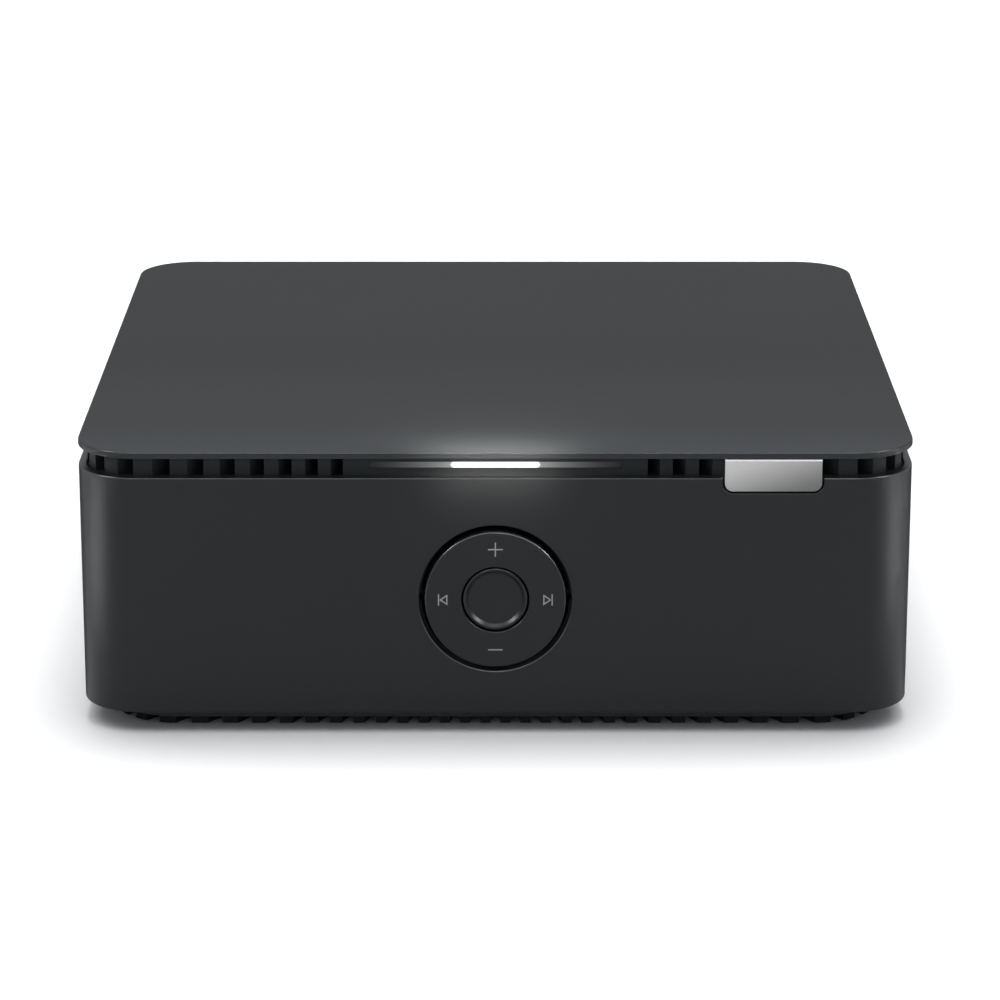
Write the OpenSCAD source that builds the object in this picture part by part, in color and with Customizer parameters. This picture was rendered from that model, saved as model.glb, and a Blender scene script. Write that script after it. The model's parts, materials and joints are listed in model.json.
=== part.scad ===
// Compact network music streamer with a four-way dial, a light bar and a recessed connector bay.
// Units are millimetres. The origin is on the floor under the middle of the case.
// +Z is up, +X is to the right and the front faces -Y.

/* [Case] */
// Width of the case, left to right
case_w = 200; // [194:1:230]
// Depth of the case, front to back
case_d = 200; // [196:1:230]
// Radius of the case's upright corners
corner_r = 15; // [12:0.5:19]
// Height of the body's lower edge above the floor
body_lift = 5.2; // [4.8:0.1:8]
// Height of the body shell
body_h = 58.8; // [57:0.1:75]
// Wall thickness of the body shell
wall_t = 2; // [1.6:0.1:2.5]
// Height of the gap between body and cover
vent_gap = 4.65; // [4.2:0.05:8]
// Thickness of the top cover
cover_t = 1.65; // [1.2:0.05:3]
// Thickness of the base plate
base_t = 2; // [1.5:0.1:3]
// Distance of the corner posts from the case's sides
post_inset = 20; // [19.5:0.5:21]
// Radius of a corner post
post_r = 4.5; // [3.5:0.1:5]

/* [Vents] */
// Number of teeth round the case
tooth_count = 120; // [90:2:150]
// Share of each tooth's pitch that is open
slot_share = 0.49; // [0.3:0.01:0.6]
// Depth of the vent frame, outside to inside
frame_depth = 6; // [4:0.5:8]
// Depth that the vent frame drops into the body
frame_sink = 4; // [3.5:0.1:5]
// Radius of the bosses under the cover
cover_boss_r = 3.6; // [3:0.1:4]
// Distance of the cover's bosses in front of and behind the middle
cover_boss_y = 45; // [30:1:55]
// Thickness of the ears that carry those bosses
ear_t = 3; // [2:0.1:3.5]

/* [Foot] */
// Set-back of the foot ring from the body
foot_inset = 6.6; // [5:0.1:9]
// Corner radius of the foot ring
foot_corner_r = 16; // [10:1:22]
// Width of the foot ring, outside to inside
foot_ring_w = 20; // [19:0.5:24]
// Height of the foot ring's slots
foot_slot_h = 1.6; // [0.8:0.05:1.8]
// Radius of a rubber foot
pad_r = 6; // [4:0.1:6.2]
// Thickness of a rubber foot
pad_t = 2; // [1.5:0.1:2.2]
// Height by which the rubber feet stand below the foot ring
pad_proud = 0.3; // [0.1:0.1:0.6]
// Length of an air intake slot in the base plate
intake_l = 50; // [30:1:60]
// Width of an air intake slot
intake_w = 3; // [2:0.1:4]
// Distance between neighbouring intake slots
intake_pitch = 8; // [6:0.1:9]
// Number of intake slots on each side
intake_count = 7; // [3:1:8]

/* [Badge] */
// Width of the badge plate
badge_w = 23; // [16:0.1:30]
// Height of the badge plate
badge_h = 7.85; // [7.4:0.05:8.3]
// Distance of the badge plate's middle from the case's right side
badge_inset = 34.2; // [32:0.1:46]
// Radius of the badge plate's lower corners
badge_corner_r = 2; // [0.5:0.1:3]
// Gap round the badge plate
badge_gap = 0.45; // [0.2:0.05:0.6]
// Distance between the badge plate's two pegs
badge_peg_span = 14; // [8:0.5:18]

/* [Light bar] */
// Width of the light bar
lamp_w = 60; // [40:1:64]
// Height of the light bar
lamp_h = 1.5; // [1:0.1:2]
// Distance of the light bar below the cover
lamp_drop = 1.25; // [1:0.05:1.6]
// Width of the plain block that holds the light bar
lamp_block_w = 72; // [70:1:80]
// Thickness of the wall that the light bar looks through
lamp_wall = 1.2; // [0.8:0.1:2]
// Depth of the light guide behind that wall
guide_d = 3; // [2:0.1:5]
// Number of lamps behind the light guide
lamp_count = 9; // [3:2:15]

/* [Dial] */
// Height of the dial's centre above the body's lower edge
dial_height = 28.85; // [27:0.05:30]
// Diameter of the dial's opening at the face of the body
dial_hole_d = 36.5; // [36.3:0.1:38]
// Radius of the rounding round that opening
dial_rounding = 0.5; // [0.3:0.05:1.05]
// Diameter of the four-way control ring
ring_d = 33.7; // [33:0.1:33.9]
// Thickness of the control ring's disc
ring_t = 4.4; // [3.6:0.1:5]
// Height by which the control ring stands out of the body
ring_proud = 0.9; // [0.5:0.1:1.2]
// Diameter of the play button
button_d = 15.4; // [14.6:0.1:15.6]
// Diameter of the hole for the play button in the control ring
button_hole_d = 16.2; // [16:0.1:16.6]
// Depth of the play button's dish
dish_depth = 0.7; // [0.3:0.1:1]
// Outer diameter of the control ring's hub
hub_d = 22; // [21.6:0.1:22.6]
// Distance of the four pushers from the dial's axis
pusher_at = 9.6; // [9.4:0.1:9.8]
// Thickness of the gimbal ring
gimbal_t = 4; // [3.4:0.1:5]
// Inner diameter of the gimbal ring
gimbal_in_d = 24.4; // [24:0.1:25]
// Outer diameter of the gimbal ring
gimbal_out_d = 31.6; // [31:0.1:32]
// Radius of the pivot pins
pivot_r = 1; // [0.7:0.05:1.2]
// Radius of the play button's stem
stem_r = 3; // [2:0.1:3.5]

/* [Control stack] */
// Width and height of the control frame and its board
control_size = [54, 42]; // [40:1:56]
// Distance of the control screws from the dial's axis, sideways and up
control_screw_at = [23, 17]; // [16:0.5:24]
// Thickness of the control frame's plate
control_plate_t = 2; // [1.5:0.1:3]
// Thickness of the wall round the gimbal
control_wall = 3.2; // [2:0.1:4]
// Height of the keypad mat
mat_h = 38; // [26:1:40]
// Thickness of the keypad mat's sheet
mat_t = 0.8; // [0.5:0.1:1.5]
// Height of the keypad mat's domes
dome_h = 2.2; // [1.8:0.1:3]

/* [Boards] */
// Thickness of the circuit boards
board_t = 1.6; // [1:0.1:2]
// Height of the boards above the base plate
standoff_h = 6; // [5:0.1:7]
// Gap between the boards and the case's side walls
board_side_gap = 10; // [8:0.5:12]
// Gap between the boards and the front wall
board_front_gap = 28; // [25:0.5:30]
// Gap between the boards and the connector bay
board_rear_gap = 4; // [3:0.5:6]
// Width of the amplifier's heat sink
sink_w = 70; // [50:1:72]
// Height of the amplifier's heat sink
sink_h = 24; // [12:0.5:30]
// Gap between the heat sink and the processor's shield
sink_gap = 15; // [4:0.5:20]
// Number of fins on the heat sink
fin_count = 12; // [6:1:16]
// Width, depth and height of an amplifier chip
chip_size = [14, 14, 1.6]; // [1.2:0.1:18]
// Width, depth and height of the processor's shield
shield_size = [40, 34, 5]; // [3:0.5:44]
// Width, depth and height of the network module
module_size = [24, 20, 3]; // [2:0.5:26]
// Width, depth and height of a filter coil
coil_size = [12, 12, 8]; // [6:0.5:14]
// Diameter of a filter capacitor
capacitor_d = 12.5; // [8:0.5:13]
// Height of a filter capacitor
capacitor_h = 20; // [10:0.5:35]
// Width, depth and height of the transformer's core
core_size = [36, 30, 28]; // [20:0.5:38]
// Diameter of the mains capacitor
mains_capacitor_d = 22; // [16:0.5:26]
// Height of the mains capacitor
mains_capacitor_h = 32; // [20:0.5:40]
// Width, thickness and height of an aerial
aerial_size = [40, 0.8, 10]; // [0.6:0.1:44]
// Height of the aerials above the body's lower edge
aerial_height = 38.8; // [32:0.1:44]

/* [Connector bay] */
// Depth of the connector bay
bay_depth = 20; // [18:0.5:22]
// Height of the bay's opening above the body's lower edge
bay_floor = 8.3; // [7.8:0.1:9]
// Wall thickness of the bay
bay_t = 2; // [1.5:0.1:2.5]
// Corner radius of the bay
bay_r = 3; // [1:0.5:6]
// Height by which the sockets stand out of the bay's plate
socket_proud = 1.2; // [1:0.1:1.5]
// Width, depth and height of the network socket
lan_size = [16, 21, 13.4]; // [12:0.1:22]
// Width, depth and height of the picture socket
hdmi_size = [15, 12, 6]; // [5.6:0.1:16]
// Width, depth and height of the data socket
usb_size = [14, 14, 7]; // [6.6:0.1:16]
// Width, depth and height of the optical socket
optical_size = [11, 16, 12]; // [10.8:0.1:18]
// Width, depth and height of the line jack block
jack_block_size = [24, 14, 28]; // [12:0.1:28]
// Distances between line jacks, sideways and up
jack_pitch = [12, 14]; // [10:0.5:14]
// Outer radius of a line jack's sleeve
jack_r = 4.15; // [4:0.05:4.3]
// Length of a line jack's sleeve
jack_l = 9.4; // [8:0.1:10]
// Width, depth and height of the mains inlet
inlet_size = [22, 20, 17]; // [14:0.1:23]

/* [Loudspeaker terminals] */
// Distance between neighbouring terminals
terminal_pitch = 19.05; // [18:0.05:20]
// Distance of the terminals below the top of the bay
terminal_drop = 11; // [10:0.5:12]
// Radius of a terminal's post
terminal_r = 3; // [2.6:0.1:3.2]
// Radius of the plug hole in a post
plug_r = 2; // [1.8:0.05:2.1]
// Depth of the plug hole
plug_depth = 14; // [10:0.5:15]
// Radius of a terminal's cap
terminal_cap_r = 6.5; // [5.5:0.1:7]
// Length of a terminal's cap
terminal_cap_l = 11.5; // [8:0.5:12]
// Number of grip flutes round a cap
flute_count = 12; // [6:1:16]
// Thickness of a terminal's clamp washer
terminal_washer_t = 1.4; // [0.8:0.1:1.6]

/* [Fit] */
// Gap between fixed pieces that fit together
fit_gap = 0.2; // [0.1:0.05:0.3]
// Radial gap of a running fit
run_gap = 0.05; // [0.03:0.01:0.08]
// Radius of the larger screws
screw_r = 1.5; // [1.2:0.05:1.6]
// Radius of the larger screws' heads
screw_head_r = 2.75; // [2.2:0.05:3]
// Radius of the smaller screws
small_screw_r = 1.25; // [1:0.05:1.4]
// Height of all screw heads
screw_head_h = 1.8; // [1.2:0.1:1.9]

/* [Hidden] */
$fn = 64;
// Overlap of joined shapes
eps = 0.01;
// Overrun of a cutting shape past the faces that it cuts
cut = 1;
// Least thickness left beside a hole or over its end
skin = 1;
// Gap past a screw's or peg's tip
tip_gap = 0.5;
// Usual gap between parts on a board
part_gap = 4;

// Case levels, from the floor up
body_z1 = body_lift + body_h;
frame_z0 = body_z1 - frame_sink;
cover_z0 = body_z1 + vent_gap;
base_z1 = body_lift + base_t;

// Case planes
front_y = -case_d / 2;
rear_y = case_d / 2;
inner_w = case_w - 2 * wall_t;
inner_d = case_d - 2 * wall_t;
inner_r = corner_r - wall_t;
post_x = case_w / 2 - post_inset;
post_y = case_d / 2 - post_inset;
post_to_corner = (post_inset - corner_r) * sqrt(2);
web_t = 2;
web_set = 0.5;
screw_hole_r = screw_r + fit_gap;
thread_r = screw_r + run_gap;

// Vent frame and base plate fill the shell with a gap round them
frame_w = inner_w - 2 * fit_gap;
frame_d = inner_d - 2 * fit_gap;
frame_r = inner_r - fit_gap;
frame_front = -frame_d / 2;
tooth_pitch = 360 / tooth_count;
plain_angle = atan(lamp_block_w / 2 / (frame_d / 2));
frame_pad_r = post_r + skin;
frame_pad_drop = 1.5;
frame_pad_h = frame_sink + vent_gap - frame_pad_drop;
thread_depth = frame_pad_h - skin;
boss_gap = 0.8;
ear_r = cover_boss_r + 2 * boss_gap;
cover_boss_x = frame_w / 2 - frame_depth - cover_boss_r - boss_gap;
ear_z1 = frame_z0 + ear_t;
cover_thread_depth = cover_z0 - ear_z1 - skin;

// Foot
foot_w = case_w - 2 * foot_inset;
foot_d = case_d - 2 * foot_inset;
foot_slot_z1 = pad_proud + foot_slot_h;
case_head_z1 = pad_t + screw_head_h + run_gap;
intake_rib = 12;

// Badge plate
badge_x = case_w / 2 - badge_inset;
badge_z1 = cover_z0 - fit_gap / 2;
badge_z0 = badge_z1 - badge_h;
badge_t = frame_front - front_y;
badge_peg_r = 1;
badge_peg_l = 3;
badge_peg_z = (frame_z0 + body_z1) / 2;

// Light bar
lamp_z1 = cover_z0 - lamp_drop;
lamp_z0 = lamp_z1 - lamp_h;
lamp_z = (lamp_z0 + lamp_z1) / 2;
guide_flange = 0.75;
lamp_t = 0.8;
led_board_t = 1;
lamp_pocket_y = frame_front + lamp_wall;
lamp_pocket_d = guide_d + lamp_t + led_board_t + fit_gap;
lamp_pocket_side = 2;
lamp_pocket_w = lamp_w + 2 * lamp_pocket_side;
lamp_pocket_drop = 2.5;
lamp_pocket_z = lamp_z0 - guide_flange - lamp_pocket_drop;
lamp_size = [1.6, 1.4];
lamp_back_wall = 1.6;
lamp_block_d = lamp_wall + lamp_pocket_d + lamp_back_wall;
led_board_y = lamp_pocket_y + guide_d + lamp_t + run_gap;

// Dial: depths are measured inwards from the face of the body
dial_z = body_lift + dial_height;
dial_bore_r = dial_hole_d / 2 - dial_rounding;
edge_rounding = 0.3;
ring_back = ring_t - ring_proud;
button_proud = 0.4;
button_t = 3.4;
gimbal_room = 0.7;
gimbal_front = ring_back + gimbal_room;
pivot_at = gimbal_front + gimbal_t / 2;
tilt_room = 1;
hub_reach = 0.8;
hub_end = gimbal_front + gimbal_t + hub_reach;
plate_front = hub_end + tilt_room;
plate_back = plate_front + control_plate_t;
clip_t = 0.5;
clip_groove = 0.5;
clip_rim = 1.4;
dish_rim = 0.95;
dish_slope = 0.75;
dome_front = plate_back + clip_t + 2 * run_gap;
mat_front = dome_front + dome_h;
control_board_front = mat_front + mat_t;
control_board_back = control_board_front + board_t;
guide_wall = 2;
guide_r = stem_r + guide_wall;
guide_l = 2.5;
pusher_r = 1.2;
pusher_window_r = pusher_r + gimbal_room;
dome_rim = 0.8;
dome_flare = 1;
control_out_r = dial_bore_r + control_wall;
control_boss_r = small_screw_r + guide_wall;
small_head_r = 1.8 * small_screw_r;
control_thread_depth = 6;
mat_w = 2 * (control_screw_at.x - control_boss_r - tip_gap);
mat_corner_r = 3;
control_corner_r = 4;
snap_w = 1.7 * pivot_r;
pivot_bore_r = pivot_r + run_gap;

// Boards
board_z0 = base_z1 + standoff_h;
board_z1 = board_z0 + board_t;
bay_face = rear_y - bay_depth;
board_y0 = front_y + wall_t + board_front_gap;
board_y1 = bay_face - bay_t - board_rear_gap;
main_x0 = -inner_w / 2 + board_side_gap;
power_x1 = inner_w / 2 - board_side_gap;
board_screw_inset = 5;
standoff_r = 3;
board_thread_depth = 4.5;

// Connector bay
bay_post_gap = 1.5;
bay_w = 2 * (post_x - post_r - bay_t - bay_post_gap);
bay_z0 = body_lift + bay_floor;
bay_top_gap = 2.5;
bay_z1 = frame_z0 - bay_t - bay_top_gap;
bay_h = bay_z1 - bay_z0;
bay_mid = (bay_z0 + bay_z1) / 2;
bay_wall_l = rear_y - wall_t - fit_gap - bay_face;
bay_tab_x = 20;
bay_tab_size = [10, 16, 4];
bay_tab_y = bay_face - bay_t - bay_tab_size.y;
bay_thread_depth = bay_tab_size.z - skin;
socket_face = bay_face + socket_proud;
setup_r = 2;
setup_stem_r = 1.2;
setup_flange = [1, 0.8];
setup_proud = 0.8;
switch_size = [7, 6, 10];
setup_height = 7;
setup_z = board_z1 + setup_height;
socket_widths = 2 * setup_r + lan_size.x + hdmi_size.x + usb_size.x + optical_size.x
    + jack_block_size.x + inlet_size.x;
socket_gap = (bay_w - socket_widths) / 8;
setup_x = -bay_w / 2 + socket_gap + setup_r;
lan_x = setup_x + setup_r + socket_gap + lan_size.x / 2;
hdmi_x = lan_x + lan_size.x / 2 + socket_gap + hdmi_size.x / 2;
usb_x = hdmi_x + hdmi_size.x / 2 + socket_gap + usb_size.x / 2;
optical_x = usb_x + usb_size.x / 2 + socket_gap + optical_size.x / 2;
jack_x = optical_x + optical_size.x / 2 + socket_gap + jack_block_size.x / 2;
jack_z = board_z1 + jack_block_size.z / 2;
jack_sleeve_t = 0.7;
jack_core_gap = 0.3;
jack_core_r = jack_r - jack_sleeve_t - jack_core_gap;
jack_core_set = 1.5;
jack_contact_r = 1.6;
jack_contact_depth = 2;
inlet_x = bay_w / 2 - inlet_size.x / 2 - socket_gap;
board_margin = 0.4;
main_x1 = jack_x + jack_block_size.x / 2 + board_margin;
power_x0 = inlet_x - inlet_size.x / 2 - board_margin;
board_gap = power_x0 - main_x1;
deepest_socket = max([
    for (size = [lan_size, hdmi_size, usb_size, optical_size, jack_block_size, inlet_size]) size.y
]);
board_screw_y0 = board_y0 + board_screw_inset;
board_screw_y1 = socket_face - deepest_socket - screw_head_r - bay_post_gap;
mains_pin_r = 1.2;
mains_pin_span = 8.6;
mains_pin_set = 3;
mains_pin_root = 3.5;
inlet_hollow_r = 4.5;
inlet_hollow_h = 6.75;
inlet_hollow_d = 13;
tongue_set = 1;
optical_hollow = 8.8;
optical_hollow_d = 10.4;
shutter_t = 0.8;
shutter_gap = 0.3;
shutter_pin_r = 0.35;
shutter_pin_l = 0.8;
shutter_set = 0.6;
shutter_y = socket_face - shutter_set;
shutter_z = board_z1 + optical_size.z / 2 + optical_hollow / 2 - shutter_gap - shutter_t / 2;

// Loudspeaker terminals, from the bay's plate outwards
terminal_z = bay_z1 - terminal_drop;
terminal_mid = (-bay_w / 2 + jack_x - jack_block_size.x / 2) / 2;
terminal_x0 = terminal_mid - 1.5 * terminal_pitch;
bush_r = 5;
bush_flange_r = 7.5;
bush_flange_t = 2;
bush_y1 = bay_face + bush_flange_t;
washer_y = bush_y1 + fit_gap;
cap_y = washer_y + terminal_washer_t + run_gap;
post_proud = 1.5;
post_tail = 6;
post_y1 = cap_y + terminal_cap_l + post_proud;
post_y0 = bay_face - bay_t - post_tail;
terminal_nut_t = 2.5;
terminal_nut_r = 2 * terminal_r;
terminal_washer_r = terminal_cap_r - skin;
flute_r = 0.9;
flute_set = 1.5;
lead_r = 1;
lead_tail_l = 4;
lead_cup_t = 0.5;
lead_y = socket_face - deepest_socket - part_gap;
lead_bend = post_y0 - lead_tail_l - lead_y;

// Places of the parts on the boards
shield_inset = 12;
shield_at = [main_x0 + shield_size.x / 2, board_y0 + shield_size.y / 2] + shield_inset * [1, 1];
capacitor_gap = 2.5;
capacitor_pitch = capacitor_d + capacitor_gap;
capacitor_x = main_x1 - capacitor_d - capacitor_gap - skin;
sink_x1 = capacitor_x - (capacitor_pitch + capacitor_d) / 2 - capacitor_gap;
sink_y0 = shield_at.y + shield_size.y / 2 + sink_gap;
sink_y1 = lead_y - 2 * part_gap - coil_size.y;
sink_d = sink_y1 - sink_y0;
sink_at = [sink_x1 - sink_w / 2, (sink_y0 + sink_y1) / 2];
capacitor_at = [capacitor_x, sink_at.y];
chip_offset = 16;
sink_base_t = 5;
sink_thread_depth = chip_size.z + sink_base_t - skin;
fin_t = 1.5;
sink_screw_x = sink_w / 2 - part_gap;
module_x = -4;
module_inset = 6;
module_at = [module_x, board_y0 + module_inset + module_size.y / 2];
coil_y = lead_y - part_gap - coil_size.y / 2;
power_x = (power_x0 + power_x1) / 2;
core_y = -12;
limb = core_size.x / 5;
coil_winding_t = 2.5;
mains_capacitor_y = core_y + core_size.y / 2 + part_gap + mains_capacitor_d / 2;
harness_inset = 24;
harness_y = board_y0 + harness_inset;
harness_count = 4;
harness_pitch = 3;
harness_wire_r = 0.9;
header_size = [5, 14, 4];
fuse_size = [8, 22, 9];
fuse_at = [power_x1 - fuse_size.x / 2 - part_gap / 2, harness_y + part_gap];
aerial_z = body_lift + aerial_height;
aerial_lead_r = 0.7;
aerial_socket_r = 1.3;
aerial_socket_h = 1.2;
aerial_socket_inset = 3;
aerial_socket_x = module_size.x / 2 - aerial_socket_inset;
aerial_lead_z = board_z1 + 2 * part_gap;
aerial_bend = 3;
aerial_y = module_at.y - module_size.y / 2 + part_gap / 2;

// Ribbon cables
ribbon_t = 0.3;
ribbon_socket = [16, 5, 3];
control_ribbon_w = 12;
control_ribbon_x = 17;
control_ribbon_z = dial_z + ribbon_socket.y / 2;
light_ribbon_w = 8;
light_ribbon_x = -24;
ribbon_socket_y = board_y0 + part_gap;
ribbon_z = board_z1 + ribbon_socket.z / 2;
ribbon_gap = 2;
light_ribbon_y = front_y + control_board_back + screw_head_h + ribbon_gap;
light_ribbon_z = lamp_pocket_z + skin;
control_ribbon_y = light_ribbon_y + ribbon_gap;

// Shared shapes

module rounded_square(size, r) {
    square([size.x - 2 * r, size.y], center = true);
    square([size.x, size.y - 2 * r], center = true);
    for (x = [-1, 1], y = [-1, 1])
        translate([x * (size.x / 2 - r), y * (size.y / 2 - r)])
            circle(r);
}

// Slot that widens with its distance from the middle of the case
module wedge(angle, length) {
    half = length * tan(angle / 2);
    polygon([[0, 0], [length, -half], [length, half]]);
}

// Slots on every tooth's pitch, with one slot on the front's middle line
module radial_slots(plain = 0) {
    for (i = [0:tooth_count - 1]) {
        from_front = min(i, tooth_count - i) * tooth_pitch;
        if (from_front >= plain)
            rotate(i * tooth_pitch - 90)
                wedge(tooth_pitch * slot_share, case_w + case_d);
    }
}

module at_corners(x, y) {
    for (sx = [-1, 1], sy = [-1, 1])
        translate([sx * x, sy * y, 0])
            children();
}

// Plain rib from a corner post's axis out towards the case's corner, set back from z0 and z1
module corner_webs(length, z0, z1) {
    for (sx = [-1, 1], sy = [-1, 1])
        translate([sx * post_x, sy * post_y, z0 + web_set])
            rotate(atan2(sy, sx))
                translate([0, -web_t / 2, 0])
                    cube([length, web_t, z1 - z0 - 2 * web_set]);
}

// Outline in X and Z, made solid from y0 backwards
module upright(y0, t) {
    translate([0, y0 + t, 0])
        rotate([90, 0, 0])
            linear_extrude(t)
                children();
}

// Round bar along Y
module rod_y(r, y0, y1) {
    translate([0, y0, 0])
        rotate([-90, 0, 0])
            cylinder(r = r, h = y1 - y0);
}

// Box by its limits
module block(low, high) {
    translate(low)
        cube(high - low);
}

// Box that stands on a board, by its middle
module on_board(at, size) {
    translate([at.x - size.x / 2, at.y - size.y / 2, board_z1])
        cube(size);
}

// Moves to the dial's axis, with Y measured inwards from the face of the body
module at_dial() {
    translate([0, front_y, dial_z])
        children();
}

// Turned shape on the dial's axis, with its profile's height pointing out of the front
module turned_to_front(depth) {
    translate([0, depth, 0])
        rotate([90, 0, 0])
            rotate_extrude()
                children();
}

// Profile of a disc or ring with its front edges rounded
module rounded_profile(r0, r1, h, rounding) {
    inner = r0 > 0 ? rounding : 0;
    translate([r0, 0])
        square([r1 - r0, h - rounding]);
    translate([r0 + inner, 0])
        square([r1 - r0 - inner - rounding, h]);
    translate([r1 - rounding, h - rounding])
        circle(rounding);
    if (r0 > 0)
        translate([r0 + rounding, h - rounding])
            circle(rounding);
}

module at_control_screws() {
    for (sx = [-1, 1], sz = [-1, 1])
        translate([sx * control_screw_at.x, 0, sz * control_screw_at.y])
            children();
}

module at_pushers() {
    for (a = [0:90:270])
        translate([pusher_at * cos(a), 0, pusher_at * sin(a)])
            children();
}

module at_terminals() {
    for (i = [0:3])
        at_terminal(i)
            children();
}

module at_terminal(i) {
    translate([terminal_x0 + i * terminal_pitch, 0, terminal_z])
        children();
}

module at_jacks() {
    for (sx = [-1, 1], sz = [-1, 1])
        translate([jack_x + sx * jack_pitch.x / 2, 0, jack_z + sz * jack_pitch.y / 2])
            children();
}

module at_board_screws(x0, x1) {
    for (x = [x0 + board_screw_inset, x1 - board_screw_inset])
        for (y = [board_screw_y0, board_screw_y1])
            translate([x, y, 0])
                children();
}

module at_all_board_screws() {
    at_board_screws(main_x0, main_x1)
        children();
    at_board_screws(power_x0, power_x1)
        children();
}

// Screw that points up, with its head's top on the plane z = 0
module screw_up(r, head_r, length) {
    translate([0, 0, -screw_head_h])
        cylinder(r = head_r, h = screw_head_h);
    cylinder(r = r, h = length);
}

// Quarter of a ring-shaped wire in the XY plane, from +X to +Y
module wire_bend(bend, r, angle = 90) {
    rotate_extrude(angle = angle)
        translate([bend, 0])
            circle(r);
}

// Case

module top_cover() {
    color("#48494d")
        difference() {
            union() {
                translate([0, 0, cover_z0])
                    linear_extrude(cover_t)
                        rounded_square([case_w, case_d], corner_r);
                at_corners(cover_boss_x, cover_boss_y)
                    translate([0, 0, ear_z1])
                        cylinder(r = cover_boss_r, h = cover_z0 - ear_z1 + eps);
            }
            at_corners(cover_boss_x, cover_boss_y)
                translate([0, 0, ear_z1 - eps])
                    cylinder(r = thread_r, h = cover_thread_depth);
        }
}

module frame_outline() {
    difference() {
        rounded_square([frame_w, frame_d], frame_r);
        rounded_square([frame_w, frame_d] - 2 * frame_depth * [1, 1], frame_r - frame_depth / 2);
    }
}

module vent_frame() {
    color("#252628")
        difference() {
            union() {
                translate([0, 0, frame_z0])
                    linear_extrude(frame_sink)
                        frame_outline();
                translate([0, 0, body_z1])
                    linear_extrude(vent_gap)
                        difference() {
                            frame_outline();
                            radial_slots(plain_angle);
                        }
                block([-lamp_block_w / 2, frame_front, frame_z0],
                    [lamp_block_w / 2, frame_front + lamp_block_d, cover_z0]);
                at_corners(post_x, post_y)
                    translate([0, 0, frame_z0])
                        cylinder(r = frame_pad_r, h = frame_pad_h);
                corner_webs(post_to_corner + frame_r - frame_depth / 2, frame_z0, body_z1);
                at_corners(cover_boss_x, cover_boss_y)
                    translate([0, 0, frame_z0])
                        cylinder(r = ear_r, h = ear_t);
            }
            light_pocket();
            at_corners(post_x, post_y)
                translate([0, 0, frame_z0 - eps])
                    cylinder(r = thread_r, h = thread_depth);
            at_corners(cover_boss_x, cover_boss_y)
                translate([0, 0, frame_z0 - eps])
                    cylinder(r = screw_hole_r, h = ear_t + 2 * eps);
            badge_pegs(badge_peg_r + run_gap, badge_peg_l + tip_gap);
        }
}

// Room in the vent frame for the light guide, its board and its ribbon
module light_pocket() {
    block([-lamp_pocket_w / 2, lamp_pocket_y, lamp_pocket_z],
        [lamp_pocket_w / 2, lamp_pocket_y + lamp_pocket_d, cover_z0 + eps]);
    block([-lamp_w / 2, frame_front - eps, lamp_z0], [lamp_w / 2, lamp_pocket_y + eps, lamp_z1]);
    ribbon_room = light_ribbon_w / 2 + fit_gap;
    block([light_ribbon_x - ribbon_room, led_board_y, lamp_pocket_z],
        [light_ribbon_x + ribbon_room, frame_front + lamp_block_d + eps, cover_z0 + eps]);
}

module body_shell() {
    color("#2d2d2f")
        difference() {
            translate([0, 0, body_lift])
                linear_extrude(body_h)
                    difference() {
                        rounded_square([case_w, case_d], corner_r);
                        rounded_square([inner_w, inner_d], inner_r);
                    }
            at_dial()
                dial_opening();
            badge_notch();
            upright(rear_y - wall_t - cut, wall_t + 2 * cut)
                translate([0, bay_mid])
                    rounded_square([bay_w, bay_h], bay_r);
        }
}

// Corner posts for the case screws and studs for the dial, bonded to the shell's inside
module shell_posts() {
    color("#1b1b1c") {
        difference() {
            intersection() {
                union() {
                    at_corners(post_x, post_y)
                        translate([0, 0, base_z1])
                            cylinder(r = post_r, h = frame_z0 - base_z1);
                    corner_webs(post_to_corner + corner_r, base_z1, frame_z0);
                }
                translate([0, 0, body_lift])
                    linear_extrude(body_h)
                        rounded_square([inner_w, inner_d], inner_r);
            }
            at_corners(post_x, post_y)
                translate([0, 0, base_z1 - eps])
                    cylinder(r = screw_hole_r, h = frame_z0 - base_z1 + 2 * eps);
        }
        at_dial()
            at_control_screws()
                difference() {
                    rod_y(control_boss_r, wall_t, plate_front);
                    rod_y(small_screw_r + run_gap, plate_front - control_thread_depth, plate_front + eps);
                }
    }
}

// Opening for the control ring, with its outer edge rounded over
module dial_opening() {
    rod_y(dial_bore_r, -cut, wall_t + cut);
    rotate([-90, 0, 0])
        rotate_extrude()
            difference() {
                translate([0, -cut])
                    square([dial_hole_d / 2, dial_rounding + cut]);
                translate([dial_hole_d / 2, dial_rounding])
                    circle(dial_rounding);
            }
}

// Outline of the badge plate, or of its notch when it is grown by a gap
module badge_outline(gap) {
    w = badge_w + 2 * gap;
    r = badge_corner_r + gap;
    z0 = badge_z0 - gap;
    translate([badge_x - w / 2, z0 + r])
        square([w, badge_z1 - z0 - r]);
    translate([badge_x - w / 2 + r, z0])
        square([w - 2 * r, badge_z1 - z0]);
    for (s = [-1, 1])
        translate([badge_x + s * (w / 2 - r), z0 + r])
            circle(r);
}

module badge_notch() {
    upright(front_y - cut, wall_t + cut + eps)
        badge_outline(badge_gap);
}

module badge_pegs(r, length) {
    for (s = [-1, 1])
        translate([badge_x + s * badge_peg_span / 2, 0, badge_peg_z])
            rod_y(r, frame_front - eps, frame_front + length);
}

module badge_plate() {
    color("#b4b4b2") {
        upright(front_y, badge_t)
            badge_outline(0);
        badge_pegs(badge_peg_r, badge_peg_l);
    }
}

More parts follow.
